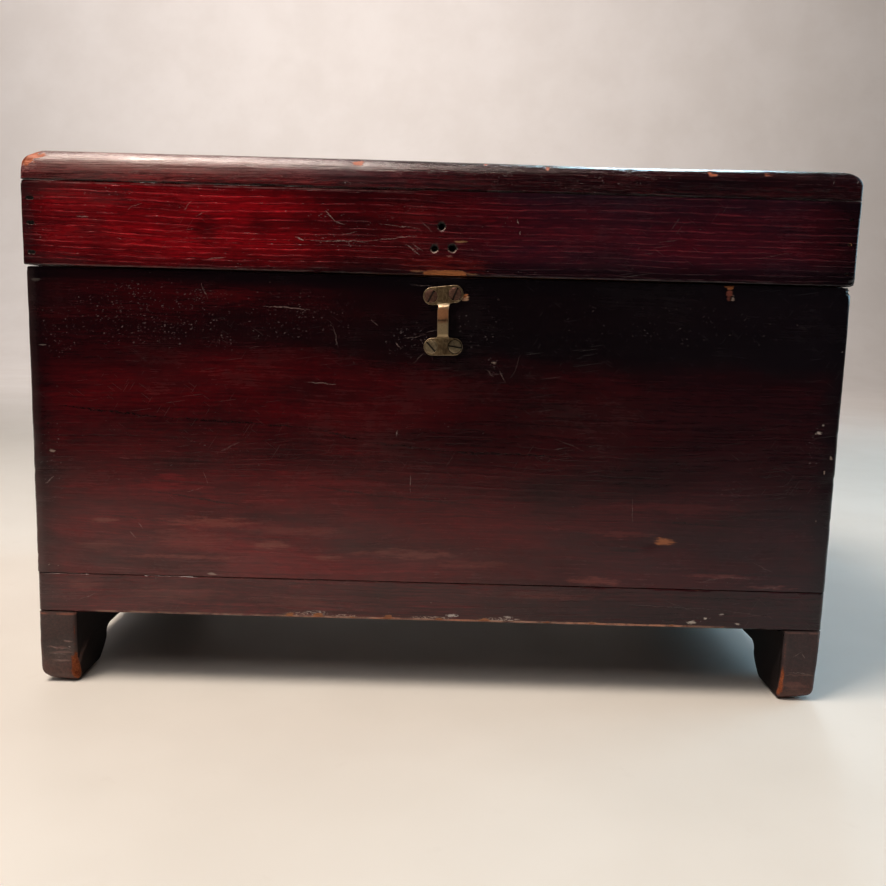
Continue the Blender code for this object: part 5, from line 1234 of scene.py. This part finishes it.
def keeper():
    curve = bpy.data.curves.new("keeper_outline", "CURVE")
    curve.dimensions = "2D"
    curve.fill_mode = "BOTH"
    curve.extrude = (PT / 2 - 0.28) * MM
    curve.bevel_depth = 0.28 * MM
    curve.bevel_resolution = 3

    def spline(points):
        s = curve.splines.new("POLY")
        s.points.add(len(points) - 1)
        for p, (a, b) in zip(s.points, points):
            p.co = (a * MM, b * MM, 0, 1)
        s.use_cyclic_u = True

    g = 0.28                      # the bevel grows the outline by this much
    r, h, w = PH / 2 - g, APART / 2, PW / 2 - g
    sw = SW / 2 - g
    pts = []

    def end(cx, cz, a0, a1, rr, n=14):
        for k in range(n + 1):
            a = math.radians(a0 + (a1 - a0) * k / n)
            pts.append((cx + rr * math.cos(a), cz + rr * math.sin(a)))

    wob = 0.25
    end(w - r, h, -90, 90, r)
    end(-(w - r) + wob, h, 90, 270, r)
    f = 1.3                       # fillets where the strap leaves the plates
    pts += [(-sw - f, h - r), (-sw - 0.3 * f, h - r - 0.3 * f), (-sw, h - r - f)]
    n = 22
    for k in range(1, n):
        pts.append((-sw, h - r - f - (2 * h - 2 * r - 2 * f) * k / n))
    pts += [(-sw, -h + r + f), (-sw - 0.3 * f, -h + r + 0.3 * f), (-sw - f, -h + r)]
    end(-(w - r) + 0.5, -h, 90, 270, r)
    end(w - r - 0.3, -h, -90, 90, r)
    pts += [(sw + f, -h + r), (sw + 0.3 * f, -h + r + 0.3 * f), (sw, -h + r + f)]
    for k in range(1, n):
        pts.append((sw, -h + r + f + (2 * h - 2 * r - 2 * f) * k / n))
    pts += [(sw, h - r - f), (sw + 0.3 * f, h - r - 0.3 * f), (sw + f, h - r)]
    spline(pts)
    for s in (-1, 1):
        for t in (-1, 1):
            spline([(s * 5.9 + (3.15 + g + 0.1) * math.cos(2 * math.pi * k / 40), t * h + (3.15 + g + 0.1) * math.sin(2 * math.pi * k / 40)) for k in range(40)])
    obj = bpy.data.objects.new("keeper_curve", curve)
    SCENE.collection.objects.link(obj)
    bpy.context.view_layer.update()
    graph = bpy.context.evaluated_depsgraph_get()
    mesh = bpy.data.meshes.new_from_object(obj.evaluated_get(graph), depsgraph=graph)
    bpy.data.objects.remove(obj, do_unlink=True)
    bpy.data.curves.remove(curve)
    bm = bmesh.new()
    bm.from_mesh(mesh)
    bmesh.ops.remove_doubles(bm, verts=bm.verts, dist=1e-7)
    # bend the strap: local x across, y up the face, z out of it
    rim = bm.verts.layers.float.new("edge")
    for v in bm.verts:
        x, z, out = v.co.x / MM, v.co.y / MM, v.co.z / MM
        v[rim] = 1.0 if 0.0 < out < PT / 2 - 0.03 else 0.0
        t = abs(z) / h
        s = min(1.0, max(0.0, (1 - t) / 0.34 - 0.42))
        s2 = s * s * (3 - 2 * s)
        rise = s2 * (0.90 + 0.10 * math.cos(t * math.pi / 2)) * CLEAR if abs(x) < SW / 2 + 0.3 else 0.0
        thin = 1.0 - 0.12 * s2
        dish = -0.18 * smooth(abs(x), 6.5, 10.0)
        depth = SEAT + PT / 2 + out * thin + rise + dish * (1 if out > 0 else 0)
        row = 1 if z > 0 else -1
        turn = PLATE_TURN[row] * smooth(abs(z), h - PH / 2 - 3.5, h - PH / 2)
        x, z = x * math.cos(turn) - (z - row * h) * math.sin(turn), row * h + x * math.sin(turn) + (z - row * h) * math.cos(turn)
        v.co = Vector((x, -depth, z)) * MM
    bmesh.ops.recalc_face_normals(bm, faces=bm.faces)
    bmesh.ops.transform(bm, matrix=Matrix.Translation(Vector((KX, YF, KZ)) * MM) @ KTURN, verts=bm.verts)
    bm.to_mesh(mesh)
    bm.free()
    mesh.materials.clear()
    return finish_object(mesh, "keeper_bridge_visual", MAT_KEEPER, "chest", ["keeper_bridge"], 50)


keeper()


def screw(node, at, turn, slot_deg, head_r, dome, body, material, slot_w=0.85, slot_d=0.75, length=8.5, shank=1.4):
    """A slotted wood screw with a worn, softly domed head."""
    cone = head_r - shank
    prof = [(0, dome), (head_r * 0.35, dome * 0.96), (head_r * 0.62, dome * 0.80), (head_r * 0.82, dome * 0.52), (head_r * 0.94, dome * 0.22), (head_r, -0.04), (head_r * 0.995, -0.16),
            (shank, -0.16 - cone), (shank, -length + 2.0), (0, -length)]
    bm = turned(prof, 48)
    bmesh.ops.transform(bm, matrix=Matrix.Translation(Vector(at) * MM) @ turn, verts=bm.verts)
    mesh = bpy.data.meshes.new(node + "_visual")
    bm.to_mesh(mesh)
    bm.free()
    obj = finish_object(mesh, node + "_visual", material, body, [node], 38)
    slot_bm = bmesh.new()
    bmesh.ops.create_cube(slot_bm, size=1.0)
    bmesh.ops.scale(slot_bm, vec=Vector((3.0 * head_r, slot_w, slot_d + 1.0)) * MM, verts=slot_bm.verts)
    bmesh.ops.translate(slot_bm, vec=Vector((0, 0, dome - slot_d + (slot_d + 1.0) / 2)) * MM, verts=slot_bm.verts)
    bmesh.ops.transform(slot_bm, matrix=Matrix.Translation(Vector(at) * MM) @ turn @ Matrix.Rotation(math.radians(slot_deg), 4, "Z"), verts=slot_bm.verts)
    cut(obj, [slot_bm])
    obj.data.shade_smooth()
    obj.data.set_sharp_from_angle(angle=math.radians(38))
    obj.data.materials.append(MAT_GRIME)
    back = (Matrix.Translation(Vector(at) * MM) @ turn @ Matrix.Rotation(math.radians(slot_deg), 4, "Z")).inverted()
    for f in obj.data.polygons:
        q = (back @ f.center) / MM
        if abs(q.y) < slot_w / 2 + 0.02 and dome - slot_d - 0.05 < q.z < dome - 0.04:
            f.material_index = 1
    return obj


for row, zz in (("upper", APART / 2), ("lower", -APART / 2)):
    for side, sx in (("left", -1), ("right", 1)):
        turn = PLATE_TURN[1 if zz > 0 else -1]
        p = KTURN.to_3x3() @ Vector((sx * 5.9 * math.cos(turn), -SEAT - PT, zz + sx * 5.9 * math.sin(turn)))
        slot_deg = {("upper", "left"): 62, ("upper", "right"): 68, ("lower", "left"): -47, ("lower", "right"): -8}[row, side]
        screw(f"keeper_screw_{row}_{side}", (KX + p.x, YF + p.y, KZ + p.z), OUT_FRONT, slot_deg, 3.15, 0.30, "chest", MAT_SCREW_DARK if row == "upper" else MAT_SCREW, slot_w=0.8, slot_d=0.95)


# ---------------------------------------------------------------------------
# hinges
# ---------------------------------------------------------------------------
AX_Y, AX_Z = YB + 2.6, (RIM + LZ0) / 2
GAP = LZ0 - RIM


def hinge_leaf(node, lid):
    """A plate let into the wood, its edge rolled into knuckles round the pin; the plate's edges are eased."""
    x0, x1, *_ = span(node)
    hx, half = (x0 + x1) / 2, 19.0
    z0, z1 = (LZ0, LZ0 + 1.2) if lid else (RIM - 1.2, RIM)
    flip = 1 if lid else -1
    low, high = GAP / 2 + 0.03, GAP / 2 + 1.2 - 0.03
    outer_r, inner_r = 2.3, 1.25
    first = math.pi - math.asin(high / outer_r)
    last = -math.radians(168)
    inner_last = math.pi - math.asin(low / inner_r)
    prof = [(-2.6 - 2.0, high)]
    prof += [(outer_r * math.cos(a), outer_r * math.sin(a)) for a in (first + (last - first) * k / 40 for k in range(41))]
    prof += [(inner_r * math.cos(a), inner_r * math.sin(a)) for a in (last + (inner_last - last) * k / 32 for k in range(33))]
    prof += [(-2.6 - 2.0, low)]
    pts = [(AX_Y + y, AX_Z + flip * z) for y, z in prof]
    if sum(a[0] * b[1] - b[0] * a[1] for a, b in zip(pts, pts[1:] + pts[:1])) < 0:
        pts = pts[::-1]
    bm = bmesh.new()

    def extrude(outline, a, b, r):
        rings = []
        for t, inset, _, _ in levels(a, b, r, r, 4.0, arc=3):
            rings.append([bm.verts.new((t * MM, (p[0] - p[2] * inset) * MM, (p[1] - p[3] * inset) * MM)) for p in outline])
        n = len(outline)
        for r0, r1 in zip(rings, rings[1:]):
            for i in range(n):
                bm.faces.new((r0[i], r0[(i + 1) % n], r1[(i + 1) % n], r1[i]))
        bm.faces.new(rings[0][::-1])
        bm.faces.new(rings[-1])

    knuckles = [(-6.2, 6.2)] if lid else [(-half, -6.5), (6.5, half)]
    roll = rounded_outline(pts, [0.0] * len(pts), 3.0)
    for a, b in knuckles:
        extrude(roll, hx + a, hx + b, 0.18)
    plate = rounded_outline([(YB - 8.4, z0), (YB, z0), (YB, z1), (YB - 8.4, z1)], [0.15] * 4, 4.0, arc=2)
    extrude(plate, hx - half, hx + half, 0.15)
    bmesh.ops.recalc_face_normals(bm, faces=bm.faces)
    mesh = bpy.data.meshes.new(node + "_visual")
    bm.to_mesh(mesh)
    bm.free()
    return finish_object(mesh, node + "_visual", MAT_HINGE, "lid" if lid else "chest", [node], 45)


for side in ("left", "right"):
    hinge_leaf(f"hinge_{side}_body_leaf", False)
    hinge_leaf(f"hinge_{side}_lid_leaf", True)
    x0, x1, *_ = span(f"hinge_{side}_pin")
    bm = turned([(0, x1 - 0.02), (0.7, x1 - 0.05), (0.98, x1 - 0.35), (1.0, x1 - 1.0), (1.0, x0 + 1.0), (0.98, x0 + 0.35), (0.7, x0 + 0.05), (0, x0 + 0.02)], 32)
    bmesh.ops.transform(bm, matrix=Matrix.Translation(Vector((0, AX_Y, AX_Z)) * MM) @ Matrix.Rotation(math.radians(90), 4, "Y"), verts=bm.verts)
    mesh = bpy.data.meshes.new(f"hinge_{side}_pin_visual")
    bm.to_mesh(mesh)
    bm.free()
    finish_object(mesh, f"hinge_{side}_pin_visual", MAT_HINGE, "chest", [f"hinge_{side}_pin"], 45)
    for where, lid, turn in (("body", False, Matrix.Identity(4)), ("lid", True, Matrix.Rotation(math.pi, 4, "X"))):
        for k, letter in ((-1, "a"), (1, "b")):
            node = f"hinge_{side}_{where}_screw_{letter}"
            zz = LZ0 + 0.02 if lid else RIM - 0.02
            screw(node, ((x0 + x1) / 2 + k * 12.0, YB - 4.4, zz), turn, 25 + 50 * k, 2.15, 0.12, "lid" if lid else "chest", MAT_HINGE, slot_w=0.6, slot_d=0.5, length=9.8, shank=1.05)
for side in ("left", "right"):
    for place in ("front", "back"):
        node = f"runner_screw_{side}_{place}"
        x0, x1, y0, y1, z0, z1 = span(node)
        screw(node, ((x0 + x1) / 2, (y0 + y1) / 2, z0), Matrix.Rotation(math.pi, 4, "X"), 20 + 35 * (1 if place == "back" else -1), 3.2, 0.0, "chest", MAT_IRON, slot_w=0.8, slot_d=0.8, length=27.9, shank=1.7)
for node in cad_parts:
    if "nail" in node:
        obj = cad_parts[node]
        obj.data.materials.clear()
        obj.data.materials.append(MAT_FILLER)


# ---------------------------------------------------------------------------
# stage, light and camera
# ---------------------------------------------------------------------------
def floor():
    t = Tree("pale_floor")
    p = t.vec(t.x, t.y, t.z)
    c = t.mix(t.step(t.noise(p, 0.004, 4.0, 0.6), 0.3, 0.7), (0.79, 0.765, 0.73), (0.84, 0.82, 0.79))
    c = t.mix(t.mul(t.step(t.noise(p, 0.05, 5.0, 0.65), 0.60, 0.80), 0.12), c, (0.55, 0.50, 0.45))
    t.out(Base_Color=c, Roughness=t.step(t.noise(p, 0.02, 3.0, 0.6), 0.3, 0.7, 0.40, 0.52), Normal=t.bump(t.noise(p, 1.4, 2.0), 0.02, 0.25))
    # the floor under the box, swept up far behind it, and the floor in front, which the polished front doesn't mirror
    sweep = [(2.3 + 1.2 * math.sin(math.radians(7.5 * k)), 1.2 - 1.2 * math.cos(math.radians(7.5 * k))) for k in range(13)] + [(3.5, 1.2 + 0.3 * k) for k in range(1, 10)]
    for name, rows in (("floor", [(-0.64 + 0.21 * k, 0.0) for k in range(14)] + sweep), ("floor_front", [(-3.4 + 0.23 * k, 0.0) for k in range(12)] + [(-0.64, 0.0)])):
        xs = [-4.2 + 0.3 * k for k in range(29)]
        bm = bmesh.new()
        grid = [[bm.verts.new((x, y, z)) for x in xs] for y, z in rows]
        for r0, r1 in zip(grid, grid[1:]):
            for k in range(len(xs) - 1):
                bm.faces.new((r0[k], r0[k + 1], r1[k + 1], r1[k]))
        mesh = bpy.data.meshes.new(name)
        bm.to_mesh(mesh)
        bm.free()
        mesh.shade_smooth()
        obj = bpy.data.objects.new(name, mesh)
        SCENE.collection.objects.link(obj)
        mesh.materials.append(t.mat)
        obj.visible_glossy = name == "floor"


floor()


def area(name, at, target, size, power, rgb, diffuse=True, glossy=True):
    light = bpy.data.lights.new(name, "AREA")
    light.shape = "RECTANGLE"
    light.size, light.size_y = size
    light.energy = power
    light.color = rgb
    obj = bpy.data.objects.new(name, light)
    SCENE.collection.objects.link(obj)
    obj.location = at
    obj.rotation_euler = (Vector(target) - Vector(at)).to_track_quat("-Z", "Y").to_euler()
    obj.visible_diffuse, obj.visible_glossy = diffuse, glossy
    return obj


area("key", (-0.58, -0.44, 1.40), (0.0, -0.08, 0.12), (0.62, 0.46), 21.0, (1.0, 0.86, 0.72))
area("key_gloss", (-0.46, 0.0, 1.50), (-0.12, -0.13, 0.26), (0.24, 0.30), 15.5, (1.0, 0.86, 0.79), diffuse=False)
area("key_gloss_low", (-0.40, -0.42, 1.20), (-0.10, -0.13, 0.26), (0.30, 0.34), 4.0, (1.0, 0.80, 0.76), diffuse=False)
area("front_fill", (-0.30, -1.05, 1.40), (0.0, -0.1, 0.12), (1.0, 0.7), 4.4, (1.0, 0.90, 0.82), glossy=False)
area("top_fill", (0.15, 0.55, 1.7), (0.0, 0.2, 0.0), (1.4, 1.2), 5.0, (1.0, 0.93, 0.88), glossy=False)
area("back_fill", (-0.6, 1.3, 1.9), (-0.4, 3.5, 1.3), (3.0, 1.2), 60.0, (1.0, 0.895, 0.86), glossy=False)
area("cool_side", (1.30, 0.35, 0.70), (0.05, 0.0, 0.10), (0.7, 0.9), 8.0, (0.50, 0.82, 1.0))
area("cool_back", (0.42, 0.95, 1.02), (0.1, -0.13, 0.26), (0.30, 0.30), 9.0, (0.62, 0.86, 1.0), diffuse=False)

world = bpy.data.worlds.new("studio")
SCENE.world = world
world.use_nodes = True
wt = world.node_tree


def background(rgb, strength):
    n = wt.nodes.new("ShaderNodeBackground")
    n.inputs["Color"].default_value = rgb + (1.0,)
    n.inputs["Strength"].default_value = strength
    return n


# a pale backdrop that glows for the camera, painted brighter and warmer on the left; dim surroundings for everything
# else
path = wt.nodes.new("ShaderNodeLightPath")
seen, soft, mirrored = background((1, 1, 1), 1.0), background((0.86, 0.87, 0.92), 0.040), background((0.80, 0.86, 1.0), 0.014)
coords, sep, across, tint = (wt.nodes.new(k) for k in ("ShaderNodeTexCoord", "ShaderNodeSeparateXYZ", "ShaderNodeMapRange", "ShaderNodeMix"))
wt.links.new(coords.outputs["Generated"], sep.inputs[0])
wt.links.new(sep.outputs[0], across.inputs[0])
across.inputs[1].default_value, across.inputs[2].default_value = -0.45, 0.45
tint.data_type = "RGBA"
tint.inputs[6].default_value, tint.inputs[7].default_value = (0.80, 0.69, 0.645, 1.0), (0.55, 0.49, 0.455, 1.0)
wt.links.new(across.outputs[0], tint.inputs[0])
wt.links.new(tint.outputs[2], seen.inputs["Color"])
glossy, final = wt.nodes.new("ShaderNodeMixShader"), wt.nodes.new("ShaderNodeMixShader")
for node, fac, a_, b_ in ((glossy, "Is Glossy Ray", soft, mirrored), (final, "Is Camera Ray", glossy, seen)):
    wt.links.new(path.outputs[fac], node.inputs[0])
    wt.links.new(a_.outputs[0], node.inputs[1])
    wt.links.new(b_.outputs[0], node.inputs[2])
wt.links.new(final.outputs[0], wt.nodes["World Output"].inputs[0])
wt.nodes.remove(wt.nodes["Background"])

cam = bpy.data.cameras.new("camera")
cam.sensor_fit = "HORIZONTAL"
cam.sensor_width = 36.0
cam.lens = 36.0 * 887.0 / 886.0
cam.clip_start, cam.clip_end = 0.01, 50.0
camera = bpy.data.objects.new("camera", cam)
SCENE.collection.objects.link(camera)
camera.location = (0.0034, -0.5704, 0.1922)
pitch, yaw, roll = math.radians(7.92), math.radians(0.08), math.radians(1.54)
camera.matrix_world = (Matrix.Translation(camera.location) @ Matrix.Rotation(-yaw, 4, "Z") @ Matrix.Rotation(math.radians(90) - pitch, 4, "X") @ Matrix.Rotation(roll, 4, "Z"))
SCENE.camera = camera
SCENE.view_settings.view_transform = "Standard"
SCENE.view_settings.look = "None"
